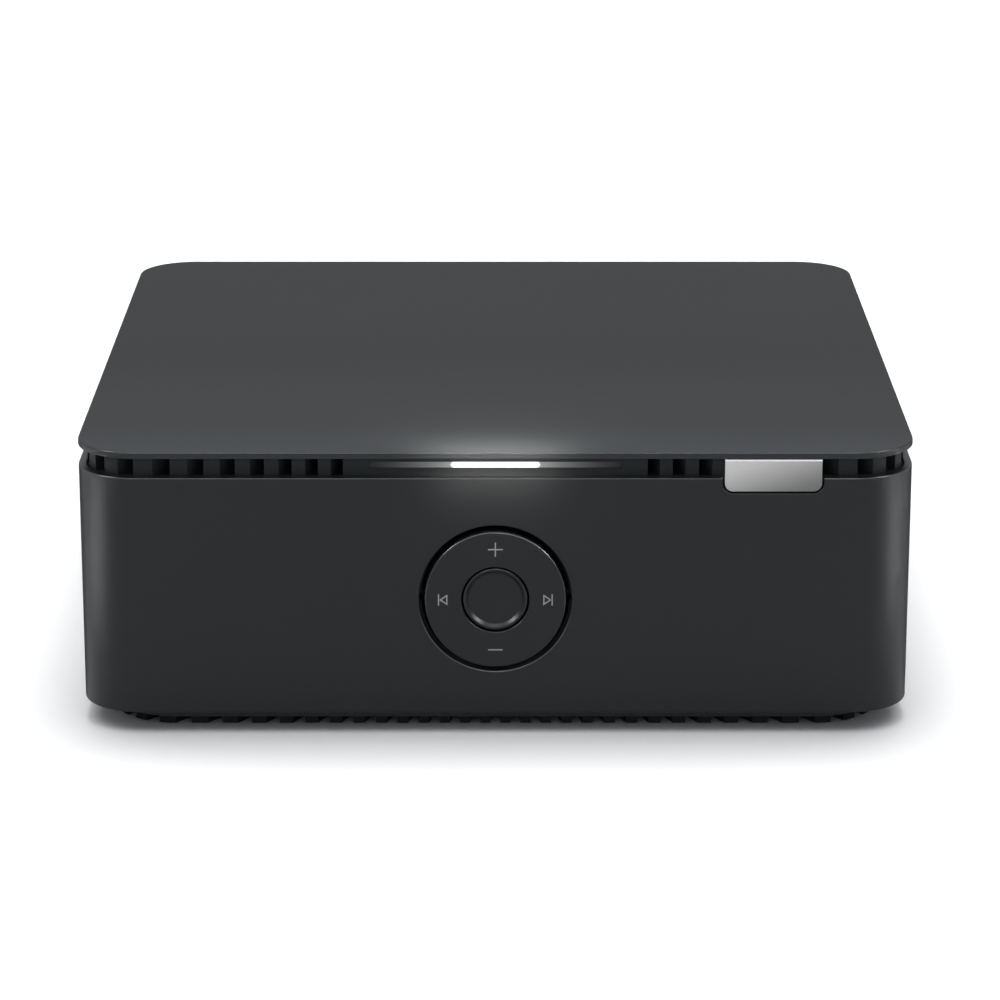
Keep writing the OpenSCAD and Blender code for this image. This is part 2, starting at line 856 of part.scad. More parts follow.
module base_plate() {
    color("#1f2022")
        difference() {
            union() {
                translate([0, 0, body_lift])
                    linear_extrude(base_t)
                        rounded_square([frame_w, frame_d], frame_r);
                at_all_board_screws()
                    translate([0, 0, base_z1 - eps])
                        cylinder(r = standoff_r, h = standoff_h + eps);
            }
            at_all_board_screws()
                translate([0, 0, board_z0 - board_thread_depth])
                    cylinder(r = thread_r, h = board_thread_depth + eps);
            at_corners(post_x, post_y)
                translate([0, 0, body_lift - eps])
                    cylinder(r = screw_hole_r, h = base_t + 2 * eps);
            at_bay_screws()
                translate([0, 0, body_lift - eps])
                    cylinder(r = screw_hole_r, h = base_t + 2 * eps);
            translate([0, 0, body_lift - eps])
                linear_extrude(base_t + 2 * eps)
                    intake_slots();
        }
}

module intake_slots() {
    for (s = [-1, 1], i = [0:intake_count - 1])
        translate([s * (intake_l + intake_rib) / 2, (i - (intake_count - 1) / 2) * intake_pitch])
            rounded_square([intake_l, intake_w], intake_w / 2 - eps);
}

module foot_outline() {
    difference() {
        rounded_square([foot_w, foot_d], foot_corner_r);
        square([foot_w - 2 * foot_ring_w, foot_d - 2 * foot_ring_w], center = true);
    }
}

module foot_ring() {
    color("#202123")
        difference() {
            union() {
                translate([0, 0, pad_proud])
                    linear_extrude(foot_slot_h)
                        difference() {
                            foot_outline();
                            radial_slots();
                        }
                translate([0, 0, foot_slot_z1])
                    linear_extrude(body_lift - foot_slot_z1)
                        foot_outline();
            }
            at_corners(post_x, post_y) {
                cylinder(r = pad_r + fit_gap, h = pad_t);
                cylinder(r = screw_head_r + fit_gap, h = case_head_z1);
                cylinder(r = screw_hole_r, h = body_lift + eps);
            }
        }
}

module rubber_feet() {
    color("#151515")
        at_corners(post_x, post_y)
            cylinder(r = pad_r, h = pad_t);
}

module case_screws() {
    color("#8a8c90")
        at_corners(post_x, post_y)
            translate([0, 0, case_head_z1])
                screw_up(screw_r, screw_head_r, frame_z0 + thread_depth - tip_gap - case_head_z1);
}

module cover_screws() {
    color("#8a8c90")
        at_corners(cover_boss_x, cover_boss_y)
            translate([0, 0, frame_z0])
                screw_up(screw_r, screw_head_r, ear_t + cover_thread_depth - tip_gap);
}

module at_bay_screws() {
    for (s = [-1, 1])
        translate([s * bay_tab_x, bay_tab_y + bay_tab_size.x / 2, 0])
            children();
}

module at_sink_screws() {
    for (s = [-1, 1])
        translate([sink_at.x + s * sink_screw_x, sink_at.y, 0])
            children();
}

module chassis_screws() {
    color("#8a8c90") {
        at_all_board_screws()
            translate([0, 0, board_z1])
                rotate([180, 0, 0])
                    screw_up(screw_r, screw_head_r, board_t + board_thread_depth - tip_gap);
        at_bay_screws()
            translate([0, 0, body_lift])
                screw_up(screw_r, screw_head_r, base_t + bay_thread_depth - tip_gap);
        at_sink_screws()
            translate([0, 0, board_z0])
                screw_up(screw_r, screw_head_r, board_t + sink_thread_depth - tip_gap);
    }
}

// Light bar

module light_guide() {
    color("#f2f4f4") {
        block([-lamp_w / 2 + fit_gap / 2, frame_front + fit_gap, lamp_z0 + run_gap],
            [lamp_w / 2 - fit_gap / 2, lamp_pocket_y + eps, lamp_z1 - run_gap]);
        block([-lamp_w / 2 - guide_flange, lamp_pocket_y, lamp_z0 - guide_flange],
            [lamp_w / 2 + guide_flange, lamp_pocket_y + guide_d, lamp_z1 + guide_flange]);
    }
}

module led_board() {
    color("#204030")
        block([-lamp_pocket_w / 2 + skin, led_board_y, lamp_pocket_z],
            [lamp_pocket_w / 2 - skin, led_board_y + led_board_t, cover_z0 - fit_gap]);
}

module led_lamps() {
    color("#fffbe8")
        for (i = [0:lamp_count - 1]) {
            x = (i - (lamp_count - 1) / 2) * lamp_w / lamp_count;
            block([x - lamp_size.x / 2, led_board_y - lamp_t, lamp_z - lamp_size.y / 2],
                [x + lamp_size.x / 2, led_board_y, lamp_z + lamp_size.y / 2]);
        }
}

// Ribbon of square-cornered runs through points in Y and Z
module ribbon(x, w, points) {
    translate([x - w / 2, 0, 0])
        rotate([90, 0, 90])
            linear_extrude(w)
                for (i = [0:len(points) - 2]) {
                    low = [min(points[i].x, points[i + 1].x), min(points[i].y, points[i + 1].y)];
                    high = [max(points[i].x, points[i + 1].x), max(points[i].y, points[i + 1].y)];
                    translate(low)
                        square(high - low + [ribbon_t, ribbon_t]);
                }
}

module ribbon_cables() {
    color("#d8d8d4") {
        ribbon(light_ribbon_x, light_ribbon_w, [
            [led_board_y + led_board_t, light_ribbon_z],
            [light_ribbon_y, light_ribbon_z],
            [light_ribbon_y, ribbon_z],
            [ribbon_socket_y - ribbon_socket.y / 2 - ribbon_t, ribbon_z]
        ]);
        ribbon(control_ribbon_x, control_ribbon_w, [
            [front_y + control_board_back + ribbon_socket.z, control_ribbon_z],
            [control_ribbon_y, control_ribbon_z],
            [control_ribbon_y, ribbon_z],
            [ribbon_socket_y - ribbon_socket.y / 2 - ribbon_t, ribbon_z]
        ]);
    }
}

// Dial and its control stack

module control_ring() {
    color("#2c2c2e")
        at_dial() {
            turned_to_front(ring_back)
                rounded_profile(button_hole_d / 2, ring_d / 2, ring_t, edge_rounding);
            difference() {
                rod_y(hub_d / 2, ring_back - eps, hub_end);
                rod_y(button_hole_d / 2, ring_back - cut, hub_end + cut);
            }
            at_pushers()
                rod_y(pusher_r, hub_end - eps, dome_front);
            for (s = [-1, 1])
                translate([0, pivot_at, s * (hub_d / 2 - skin)])
                    rotate([s < 0 ? 180 : 0, 0, 0])
                        cylinder(r = pivot_r, h = (gimbal_out_d - hub_d) / 2 + skin - fit_gap);
        }
}

module gimbal_ring() {
    color("#6b6e72")
        at_dial()
            difference() {
                union() {
                    rod_y(gimbal_out_d / 2, gimbal_front, gimbal_front + gimbal_t);
                    translate([0, pivot_at, 0])
                        rotate([0, 90, 0])
                            cylinder(r = pivot_r, h = 2 * control_out_r - 2 * fit_gap, center = true);
                }
                rod_y(gimbal_in_d / 2, gimbal_front - cut, gimbal_front + gimbal_t + cut);
                translate([0, pivot_at, 0])
                    cylinder(r = pivot_bore_r, h = gimbal_out_d + 2 * cut, center = true);
                block([-snap_w / 2, pivot_at, -gimbal_out_d / 2 - cut],
                    [snap_w / 2, gimbal_front + gimbal_t + cut, gimbal_out_d / 2 + cut]);
            }
}

module play_button() {
    dish_r = button_d / 2 - dish_rim;
    color("#2c2c2e")
        at_dial() {
            turned_to_front(button_t - button_proud)
                difference() {
                    rounded_profile(0, button_d / 2, button_t, edge_rounding);
                    translate([0, button_t])
                        polygon([
                            [0, -dish_depth],
                            [dish_r - dish_slope, -dish_depth],
                            [dish_r, 0],
                            [dish_r, cut],
                            [0, cut]
                        ]);
                }
            difference() {
                rod_y(stem_r, button_t - button_proud - eps, dome_front);
                button_clip_shape(stem_r - clip_groove, stem_r + cut, clip_t + run_gap);
            }
        }
}

module button_clip_shape(r0, r1, t) {
    difference() {
        rod_y(r1, plate_back + run_gap, plate_back + run_gap + t);
        rod_y(r0, plate_back - cut, plate_back + t + cut);
    }
}

module button_clip() {
    color("#9a9ca0")
        at_dial()
            button_clip_shape(stem_r - clip_groove + run_gap, stem_r + clip_rim, clip_t);
}

module control_plate_outline() {
    translate([0, dial_z])
        rounded_square(control_size, control_corner_r);
}

module control_frame() {
    color("#222326")
        difference() {
            union() {
                upright(front_y + plate_front, control_plate_t)
                    control_plate_outline();
                at_dial() {
                    difference() {
                        rod_y(control_out_r, wall_t, plate_front + eps);
                        rod_y(dial_bore_r, wall_t - cut, plate_front);
                    }
                    rod_y(guide_r, plate_front - guide_l, plate_front + eps);
                    at_control_screws()
                        rod_y(control_boss_r, plate_back - eps, control_board_front);
                }
            }
            at_dial() {
                rod_y(stem_r + run_gap, plate_front - guide_l - cut, plate_back + cut);
                at_pushers()
                    rod_y(pusher_window_r, plate_front - cut, plate_back + cut);
                at_control_screws()
                    rod_y(small_screw_r + fit_gap, plate_front - cut, control_board_front + cut);
                translate([0, pivot_at, 0])
                    rotate([0, 90, 0])
                        cylinder(r = pivot_bore_r, h = 2 * control_out_r + 2 * cut, center = true);
                block([-control_out_r - cut, wall_t - cut, -snap_w / 2],
                    [control_out_r + cut, pivot_at, snap_w / 2]);
            }
        }
}

module keypad_mat() {
    color("#6d7076") {
        upright(front_y + mat_front, mat_t)
            translate([0, dial_z])
                rounded_square([mat_w, mat_h], mat_corner_r);
        at_dial() {
            dome();
            at_pushers()
                dome();
        }
    }
}

module dome() {
    translate([0, dome_front, 0])
        rotate([-90, 0, 0])
            cylinder(r1 = pusher_r + dome_rim, r2 = pusher_r + dome_rim + dome_flare, h = dome_h + eps);
}

module control_board() {
    color("#1f4a33")
        difference() {
            union() {
                upright(front_y + control_board_front, board_t)
                    control_plate_outline();
                translate([control_ribbon_x - ribbon_socket.x / 2, 0, dial_z])
                    translate([0, front_y + control_board_back - eps, 0])
                        cube([ribbon_socket.x, ribbon_socket.z + eps, ribbon_socket.y]);
            }
            at_dial()
                at_control_screws()
                    rod_y(small_screw_r + fit_gap, control_board_front - cut, control_board_back + cut);
        }
}

module control_screws() {
    screw_l = control_board_back - plate_front + control_thread_depth - tip_gap;
    color("#8a8c90")
        at_dial()
            at_control_screws()
                translate([0, control_board_back, 0])
                    rotate([90, 0, 0])
                        screw_up(small_screw_r, small_head_r, screw_l);
}

// Main board

module board_plate(x0, x1) {
    difference() {
        block([x0, board_y0, board_z0], [x1, board_y1, board_z1]);
        at_board_screws(x0, x1)
            translate([0, 0, board_z0 - cut])
                cylinder(r = screw_hole_r, h = board_t + 2 * cut);
    }
}

module main_board() {
    color("#1d4d34")
        difference() {
            union() {
                board_plate(main_x0, main_x1);
                for (x = [light_ribbon_x, control_ribbon_x])
                    translate([0, 0, -eps])
                        on_board([x, ribbon_socket_y], ribbon_socket);
                translate([0, 0, -eps])
                    on_board([setup_x, board_y1 - switch_size.y], switch_size);
                translate([0, 0, -eps])
                    on_board([main_x1 - header_size.x / 2, harness_y], header_size);
            }
            translate([setup_x, 0, setup_z])
                rod_y(setup_stem_r + run_gap, board_y1 - switch_size.y - cut, board_y1);
            at_sink_screws()
                translate([0, 0, board_z0 - cut])
                    cylinder(r = screw_hole_r, h = board_t + 2 * cut);
        }
}

module amp_chips() {
    color("#18191b")
        for (s = [-1, 1])
            on_board([sink_at.x + s * chip_offset, sink_at.y], chip_size);
}

module amp_heatsink() {
    fin_pitch = (sink_w - fin_t) / (fin_count - 1);
    sink_z = board_z1 + chip_size.z;
    color("#9da0a4")
        difference() {
            union() {
                translate([sink_x1 - sink_w, sink_y0, sink_z]) {
                    cube([sink_w, sink_d, sink_base_t]);
                    for (i = [0:fin_count - 1])
                        translate([i * fin_pitch, 0, sink_base_t - eps])
                            cube([fin_t, sink_d, sink_h - sink_base_t]);
                }
                at_sink_screws()
                    translate([0, 0, board_z1])
                        cylinder(r = standoff_r, h = chip_size.z + eps);
            }
            at_sink_screws()
                translate([0, 0, board_z1 - eps])
                    cylinder(r = thread_r, h = sink_thread_depth);
        }
}

module processor_shield() {
    shield_t = 0.5;
    color("#b9bbbd")
        difference() {
            on_board(shield_at, shield_size);
            translate([0, 0, -eps])
                on_board(shield_at, shield_size - [2 * shield_t, 2 * shield_t, shield_t - eps]);
        }
}

module network_module() {
    color("#2a4a6a") {
        on_board(module_at, module_size);
        for (s = [-1, 1])
            translate([module_at.x + s * aerial_socket_x, aerial_y, board_z1 + module_size.z - eps])
                cylinder(r = aerial_socket_r, h = aerial_socket_h);
    }
}

module filter_coils() {
    color("#3a3b3d")
        for (i = [0:3])
            on_board([terminal_x0 + i * terminal_pitch, coil_y], coil_size);
}

module filter_capacitors() {
    color("#20242c")
        for (sx = [-1, 1], sy = [-1, 1])
            translate([capacitor_at.x, capacitor_at.y, board_z1])
                translate(capacitor_pitch / 2 * [sx, sy, 0])
                    cylinder(d = capacitor_d, h = capacitor_h);
}

// Power board

module power_board() {
    color("#4a3a1d") {
        board_plate(power_x0, power_x1);
        translate([0, 0, -eps]) {
            on_board([power_x0 + header_size.x / 2, harness_y], header_size);
            on_board(fuse_at, fuse_size);
        }
    }
}

module transformer_core() {
    color("#2b2c2e")
        translate([power_x, core_y, board_z1])
            difference() {
                translate([-core_size.x / 2, -core_size.y / 4, 0])
                    cube([core_size.x, core_size.y / 2, core_size.z]);
                for (s = [-1, 1])
                    translate([s * (limb + fit_gap / 2), 0, core_size.z / 2])
                        cube([limb + fit_gap, core_size.y, core_size.z - 2 * limb], center = true);
            }
}

module transformer_coil() {
    color("#c9a23a")
        translate([power_x, core_y, board_z1 + limb + fit_gap])
            linear_extrude(core_size.z - 2 * limb - 2 * fit_gap)
                difference() {
                    rounded_square([3 * limb - 2 * fit_gap, core_size.y], coil_winding_t);
                    square([limb + fit_gap, core_size.y / 2 + fit_gap], center = true);
                }
}

module mains_capacitor() {
    color("#25282e")
        translate([power_x, mains_capacitor_y, board_z1])
            cylinder(d = mains_capacitor_d, h = mains_capacitor_h);
}

module power_harness() {
    bend = (board_gap + header_size.x) / 2;
    color("#b03028")
        for (i = [0:harness_count - 1])
            translate([main_x1 + board_gap / 2, harness_y, board_z1 + header_size.z])
                translate([0, (i - (harness_count - 1) / 2) * harness_pitch, 0])
                    rotate([90, 0, 0])
                        wire_bend(bend, harness_wire_r, 180);
}

// Aerials

module aerials() {
    color("#27302a")
        for (s = [-1, 1])
            translate([s * (inner_w / 2 - aerial_size.y / 2), aerial_y, aerial_z])
                cube([aerial_size.y, aerial_size.x, aerial_size.z], center = true);
}

// Lead down the side wall, across to the network module and down to its socket
module aerial_lead(wall_x, socket_x) {
    socket_z = board_z1 + module_size.z + aerial_socket_h;
    drop = aerial_lead_z - socket_z;
    run = socket_x - wall_x - aerial_bend - drop;
    translate([wall_x, aerial_y, 0]) {
        translate([0, 0, aerial_lead_z + aerial_bend])
            cylinder(r = aerial_lead_r, h = aerial_z - aerial_lead_z - aerial_bend);
        translate([aerial_bend, 0, aerial_lead_z + aerial_bend])
            rotate([90, 0, 0])
                rotate(180)
                    wire_bend(aerial_bend, aerial_lead_r);
        translate([aerial_bend, 0, aerial_lead_z])
            rotate([0, 90, 0])
                cylinder(r = aerial_lead_r, h = run);
        translate([aerial_bend + run, 0, socket_z])
            rotate([90, 0, 0])
                wire_bend(drop, aerial_lead_r);
    }
}

module aerial_leads() {
    wall_x = inner_w / 2 - aerial_size.y - aerial_lead_r;
    color("#3a3a3c") {
        aerial_lead(-wall_x, module_at.x - aerial_socket_x);
        mirror([1, 0, 0])
            aerial_lead(-wall_x, -module_at.x - aerial_socket_x);
    }
}

// Connector bay

// Window for a socket that stands on a board
module socket_window(x, size) {
    block([x - size.x / 2 - fit_gap, bay_face - bay_t - cut, board_z1 - fit_gap],
        [x + size.x / 2 + fit_gap, bay_face + cut, board_z1 + size.z + fit_gap]);
}

module connector_bay() {
    color("#1b1c1e")
        difference() {
            union() {
                upright(bay_face - bay_t, bay_t)
                    translate([0, bay_mid])
                        rounded_square([bay_w + 2 * bay_t, bay_h + 2 * bay_t], bay_r + bay_t);
                upright(bay_face - eps, bay_wall_l + eps)
                    translate([0, bay_mid])
                        difference() {
                            rounded_square([bay_w + 2 * bay_t, bay_h + 2 * bay_t], bay_r + bay_t);
                            rounded_square([bay_w, bay_h], bay_r);
                        }
                for (s = [-1, 1])
                    translate([s * bay_tab_x - bay_tab_size.x / 2, bay_tab_y, base_z1]) {
                        cube(bay_tab_size);
                        translate([0, bay_face - bay_t - bay_tab_y, 0])
                            cube([bay_tab_size.x, bay_t, bay_z0 - base_z1]);
                    }
            }
            socket_window(lan_x, lan_size);
            socket_window(hdmi_x, hdmi_size);
            socket_window(usb_x, usb_size);
            socket_window(optical_x, optical_size);
            socket_window(jack_x, jack_block_size);
            socket_window(inlet_x, inlet_size);
            at_terminals()
                rod_y(bush_r + run_gap, bay_face - bay_t - cut, bay_face + cut);
            translate([setup_x, 0, setup_z])
                rod_y(setup_r + fit_gap, bay_face - bay_t - cut, bay_face + cut);
            at_bay_screws()
                translate([0, 0, base_z1 - eps])
                    cylinder(r = thread_r, h = bay_thread_depth);
        }
}

// Solid of a socket that stands on a board and looks out of the bay's plate
module socket_body(x, size) {
    block([x - size.x / 2, socket_face - size.y, board_z1],
        [x + size.x / 2, socket_face, board_z1 + size.z]);
}

// Moves to the middle of a socket's face
module at_socket(x, size) {
    translate([x, socket_face, board_z1 + size.z / 2])
        children();
}

module mains_inlet() {
    color("#17181a")
        difference() {
            socket_body(inlet_x, inlet_size);
            at_socket(inlet_x, inlet_size) {
                upright(-inlet_hollow_d, inlet_hollow_d + cut) {
                    square([mains_pin_span, inlet_hollow_h], center = true);
                    for (s = [-1, 1])
                        translate([s * mains_pin_span / 2, 0])
                            circle(inlet_hollow_r);
                }
                mains_pin_rods(mains_pin_r + run_gap, inlet_hollow_d + mains_pin_root + tip_gap);
            }
        }
}

module mains_pin_rods(r, reach) {
    for (s = [-1, 1])
        translate([s * mains_pin_span / 2, 0, 0])
            rod_y(r, -reach, -mains_pin_set);
}

module mains_pins() {
    color("#c9cacb")
        at_socket(inlet_x, inlet_size)
            mains_pin_rods(mains_pin_r, inlet_hollow_d + mains_pin_root);
}

module lan_socket() {
    plug = [11.8, 13, 7];
    latch = [6.2, 13, 2.2];
    color("#b6b8ba")
        difference() {
            socket_body(lan_x, lan_size);
            at_socket(lan_x, lan_size) {
                block([-plug.x / 2, -plug.y, -plug.z / 2], [plug.x / 2, cut, plug.z / 2]);
                block([-latch.x / 2, -latch.y, -plug.z / 2 - latch.z], [latch.x / 2, cut, 0]);
            }
        }
}

module hdmi_socket() {
    mouth = [13.9, 4.5];
    tongue = [11.4, 8, 1.4];
    chamfer = 1.4;
    color("#b6b8ba")
        at_socket(hdmi_x, hdmi_size) {
            difference() {
                translate([-hdmi_x, -socket_face, -board_z1 - hdmi_size.z / 2])
                    socket_body(hdmi_x, hdmi_size);
                upright(-tongue.y - tongue_set, tongue.y + tongue_set + cut)
                    polygon([
                        [-mouth.x / 2, mouth.y / 2], [-mouth.x / 2, -mouth.y / 2 + chamfer],
                        [-mouth.x / 2 + chamfer, -mouth.y / 2], [mouth.x / 2 - chamfer, -mouth.y / 2],
                        [mouth.x / 2, -mouth.y / 2 + chamfer], [mouth.x / 2, mouth.y / 2]
                    ]);
            }
            block([-tongue.x / 2, -tongue.y - tongue_set - eps, -tongue.z / 2],
                [tongue.x / 2, -tongue_set, tongue.z / 2]);
        }
}

module usb_socket() {
    mouth = [12.4, 10, 5.1];
    tongue = [11.1, 1.9];
    color("#b6b8ba")
        at_socket(usb_x, usb_size) {
            difference() {
                translate([-usb_x, -socket_face, -board_z1 - usb_size.z / 2])
                    socket_body(usb_x, usb_size);
                block([-mouth.x / 2, -mouth.y, -mouth.z / 2], [mouth.x / 2, cut, mouth.z / 2]);
            }
            block([-tongue.x / 2, -mouth.y - eps, 0], [tongue.x / 2, -tongue_set, tongue.y]);
        }
}

module optical_socket() {
    light_r = 1.2;
    light_depth = 2;
    color("#1d1e20")
        difference() {
            socket_body(optical_x, optical_size);
            at_socket(optical_x, optical_size) {
                block([-optical_hollow / 2, -optical_hollow_d, -optical_hollow / 2],
                    [optical_hollow / 2, cut, optical_hollow / 2]);
                rod_y(light_r, -optical_hollow_d - light_depth, -optical_hollow_d + cut);
            }
            shutter_pin(shutter_pin_r + run_gap, optical_hollow + 2 * shutter_pin_l + 2 * fit_gap);
        }
}

module shutter_pin(r, length) {
    translate([optical_x, shutter_y, shutter_z])
        rotate([0, 90, 0])
            cylinder(r = r, h = length, center = true);
}

module optical_shutter() {
    flap = optical_hollow - 2 * shutter_gap;
    color("#2a2b2e") {
        translate([optical_x - flap / 2, shutter_y - shutter_t / 2, shutter_z + shutter_t / 2 - flap])
            cube([flap, shutter_t, flap - shutter_t / 2]);
        shutter_pin(shutter_t / 2, flap);
        shutter_pin(shutter_pin_r, optical_hollow + 2 * shutter_pin_l);
    }
}

module line_jack_block() {
    color("#1d1e20")
        difference() {
            union() {
                socket_body(jack_x, jack_block_size);
                at_jacks()
                    rod_y(jack_core_r, socket_face - eps, socket_face + jack_l - jack_core_set);
            }
            at_jacks()
                rod_y(jack_contact_r, socket_face - jack_contact_depth, socket_face + jack_l);
        }
}

module line_jack_sleeves() {
    color("#c7c9cb")
        at_jacks()
            difference() {
                rod_y(jack_r, socket_face, socket_face + jack_l);
                rod_y(jack_r - jack_sleeve_t, socket_face - cut, socket_face + jack_l + cut);
            }
}

module setup_button() {
    flange_y = bay_face - bay_t - fit_gap;
    color("#3a3b3d")
        translate([setup_x, 0, setup_z]) {
            rod_y(setup_r, flange_y - eps, bay_face + setup_proud);
            rod_y(setup_r + setup_flange.x, flange_y - setup_flange.y, flange_y);
            rod_y(setup_stem_r, board_y1 - switch_size.y, flange_y - setup_flange.y + eps);
        }
}

// Loudspeaker terminals

module terminal_bushes() {
    color("#141416")
        at_terminals()
            difference() {
                union() {
                    rod_y(bush_flange_r, bay_face, bush_y1);
                    rod_y(bush_r, bay_face - bay_t, bay_face + eps);
                }
                rod_y(terminal_r + run_gap, bay_face - bay_t - cut, bush_y1 + cut);
            }
}

module terminal_posts() {
    color("#c8a24a")
        at_terminals()
            difference() {
                union() {
                    rod_y(terminal_r, post_y0, post_y1);
                    rod_y(lead_r + lead_cup_t, post_y0 - lead_tail_l, post_y0 + eps);
                }
                rod_y(plug_r, post_y1 - plug_depth, post_y1 + cut);
                rod_y(lead_r + run_gap, post_y0 - lead_tail_l - cut, post_y0 - skin);
            }
}

module terminal_nuts() {
    color("#c7c9cb")
        at_terminals()
            difference() {
                translate([0, bay_face - bay_t, 0])
                    rotate([90, 0, 0])
                        cylinder(r = terminal_nut_r, h = terminal_nut_t, $fn = 6);
                rod_y(terminal_r + run_gap, bay_face - bay_t - terminal_nut_t - cut, bay_face);
            }
}

module speaker_leads() {
    drop_top = terminal_z - lead_bend;
    color("#a83a30")
        for (i = [0:3])
            translate([terminal_x0 + i * terminal_pitch, 0, 0]) {
                translate([0, 0, terminal_z])
                    rod_y(lead_r, lead_y + lead_bend, post_y0 - skin - fit_gap);
                translate([0, lead_y + lead_bend, drop_top])
                    rotate([90, 0, -90])
                        wire_bend(lead_bend, lead_r);
                translate([0, lead_y, board_z1])
                    cylinder(r = lead_r, h = drop_top - board_z1);
            }
}

module terminal_washer(i) {
    color("#c8a24a")
        at_terminal(i)
            difference() {
                rod_y(terminal_washer_r, washer_y, washer_y + terminal_washer_t);
                rod_y(terminal_r + run_gap, washer_y - cut, washer_y + terminal_washer_t + cut);
            }
}

module terminal_cap(i) {
    color(i % 2 == 0 ? "#9c2a26" : "#1a1a1c")
        at_terminal(i)
            difference() {
                rod_y(terminal_cap_r, cap_y, cap_y + terminal_cap_l);
                rod_y(terminal_r + run_gap, cap_y - cut, cap_y + terminal_cap_l + cut);
                for (k = [0:flute_count - 1])
                    rotate([0, k * 360 / flute_count, 0])
                        translate([terminal_cap_r + flute_r / 2, 0, 0])
                            rod_y(flute_r, cap_y + flute_set, cap_y + terminal_cap_l + cut);
            }
}

top_cover();
vent_frame();
body_shell();
shell_posts();
base_plate();
foot_ring();
rubber_feet();
badge_plate();
case_screws();
cover_screws();
chassis_screws();
light_guide();
led_board();
led_lamps();
ribbon_cables();
control_ring();
gimbal_ring();
play_button();
button_clip();
control_frame();
keypad_mat();
control_board();
control_screws();
main_board();
amp_chips();
amp_heatsink();
processor_shield();
network_module();
filter_coils();
filter_capacitors();
power_board();
transformer_core();
transformer_coil();
mains_capacitor();
power_harness();
aerials();
aerial_leads();
connector_bay();
mains_inlet();
mains_pins();
lan_socket();
hdmi_socket();
usb_socket();
optical_socket();
optical_shutter();
line_jack_block();
line_jack_sleeves();
setup_button();
terminal_bushes();
terminal_posts();
terminal_nuts();
speaker_leads();
terminal_washer(0);  // terminal_washer_1
terminal_washer(1);  // terminal_washer_2
terminal_washer(2);  // terminal_washer_3
terminal_washer(3);  // terminal_washer_4
terminal_cap(0);  // terminal_cap_1
terminal_cap(1);  // terminal_cap_2
terminal_cap(2);  // terminal_cap_3
terminal_cap(3);  // terminal_cap_4
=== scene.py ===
# %% [markdown]
# # Dressing a network music streamer
# The streamer is a low square case on a set-back foot. It has a thin cover that floats over a
# toothed air gap, a light bar, a four-way dial and a connector bay at the back. The solids come
# from the CAD frame, which stays as it is. This script gives every solid its finish, rounds the
# edges that catch light, and adds the printed signs and the small contacts that are too fine for
# the CAD model.

# %% Load the frame
import json
import math

import bmesh
import bpy
import numpy as np
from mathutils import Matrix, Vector

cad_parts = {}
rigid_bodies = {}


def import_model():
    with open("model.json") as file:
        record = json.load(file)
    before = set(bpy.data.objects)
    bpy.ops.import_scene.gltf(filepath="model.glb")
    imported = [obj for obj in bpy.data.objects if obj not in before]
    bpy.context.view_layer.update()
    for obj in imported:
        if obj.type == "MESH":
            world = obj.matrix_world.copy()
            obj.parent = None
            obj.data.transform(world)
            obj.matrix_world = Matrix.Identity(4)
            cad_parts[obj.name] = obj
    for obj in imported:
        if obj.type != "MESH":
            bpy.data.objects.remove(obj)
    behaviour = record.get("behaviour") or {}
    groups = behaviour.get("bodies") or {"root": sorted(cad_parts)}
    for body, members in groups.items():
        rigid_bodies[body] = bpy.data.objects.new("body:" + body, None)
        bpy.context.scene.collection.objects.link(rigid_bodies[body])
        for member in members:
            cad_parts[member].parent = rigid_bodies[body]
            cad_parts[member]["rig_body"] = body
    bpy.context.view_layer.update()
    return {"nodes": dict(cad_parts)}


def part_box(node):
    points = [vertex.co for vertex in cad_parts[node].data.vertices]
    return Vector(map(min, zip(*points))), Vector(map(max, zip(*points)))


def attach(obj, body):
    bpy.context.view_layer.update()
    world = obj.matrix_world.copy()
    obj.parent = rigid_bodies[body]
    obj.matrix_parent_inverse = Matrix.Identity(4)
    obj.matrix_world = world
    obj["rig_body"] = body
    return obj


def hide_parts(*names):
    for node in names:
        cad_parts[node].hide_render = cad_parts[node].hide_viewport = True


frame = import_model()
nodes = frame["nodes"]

MM = 0.001
scene = bpy.context.scene
scene.view_settings.view_transform = "Standard"

# %% [markdown]
# ## The camera
# The photograph looks down on the case by about 17 degrees from one metre away, with a long lens.
# A camera in line with the middle of the case, raised and tilted down, gives the same rows and
# columns: the pitch comes from how much the square cover is foreshortened, and the lens from how
# much its back edge is shorter than its front edge.

# %% Set up the camera
PITCH = math.radians(16.556)


def put(name, data):
    """An object made from its data and linked to the scene."""
    made = bpy.data.objects.new(name, data)
    scene.collection.objects.link(made)
    return made


lens = bpy.data.cameras.new("camera")
lens.sensor_width = 36
lens.lens = 138.92
lens.shift_x = 0.00466
camera = put("camera", lens)
camera.location = (0, -0.97601, 0.31906)
camera.rotation_euler = (math.pi / 2 - PITCH, 0, 0)
scene.camera = camera
print("camera pitch in degrees:", round(math.degrees(PITCH), 2), "lens in mm:", lens.lens)

# %% [markdown]
# ## Shader sums as Python sums
# A finish is a graph of nodes, and a graph that is wired line by line hides its idea. Here one
# small class holds a node's output, so that a line such as 0.4 + 0.1 * grain adds the Math nodes
# itself. One method makes every other node: its type, its settings, and what goes into its sockets.

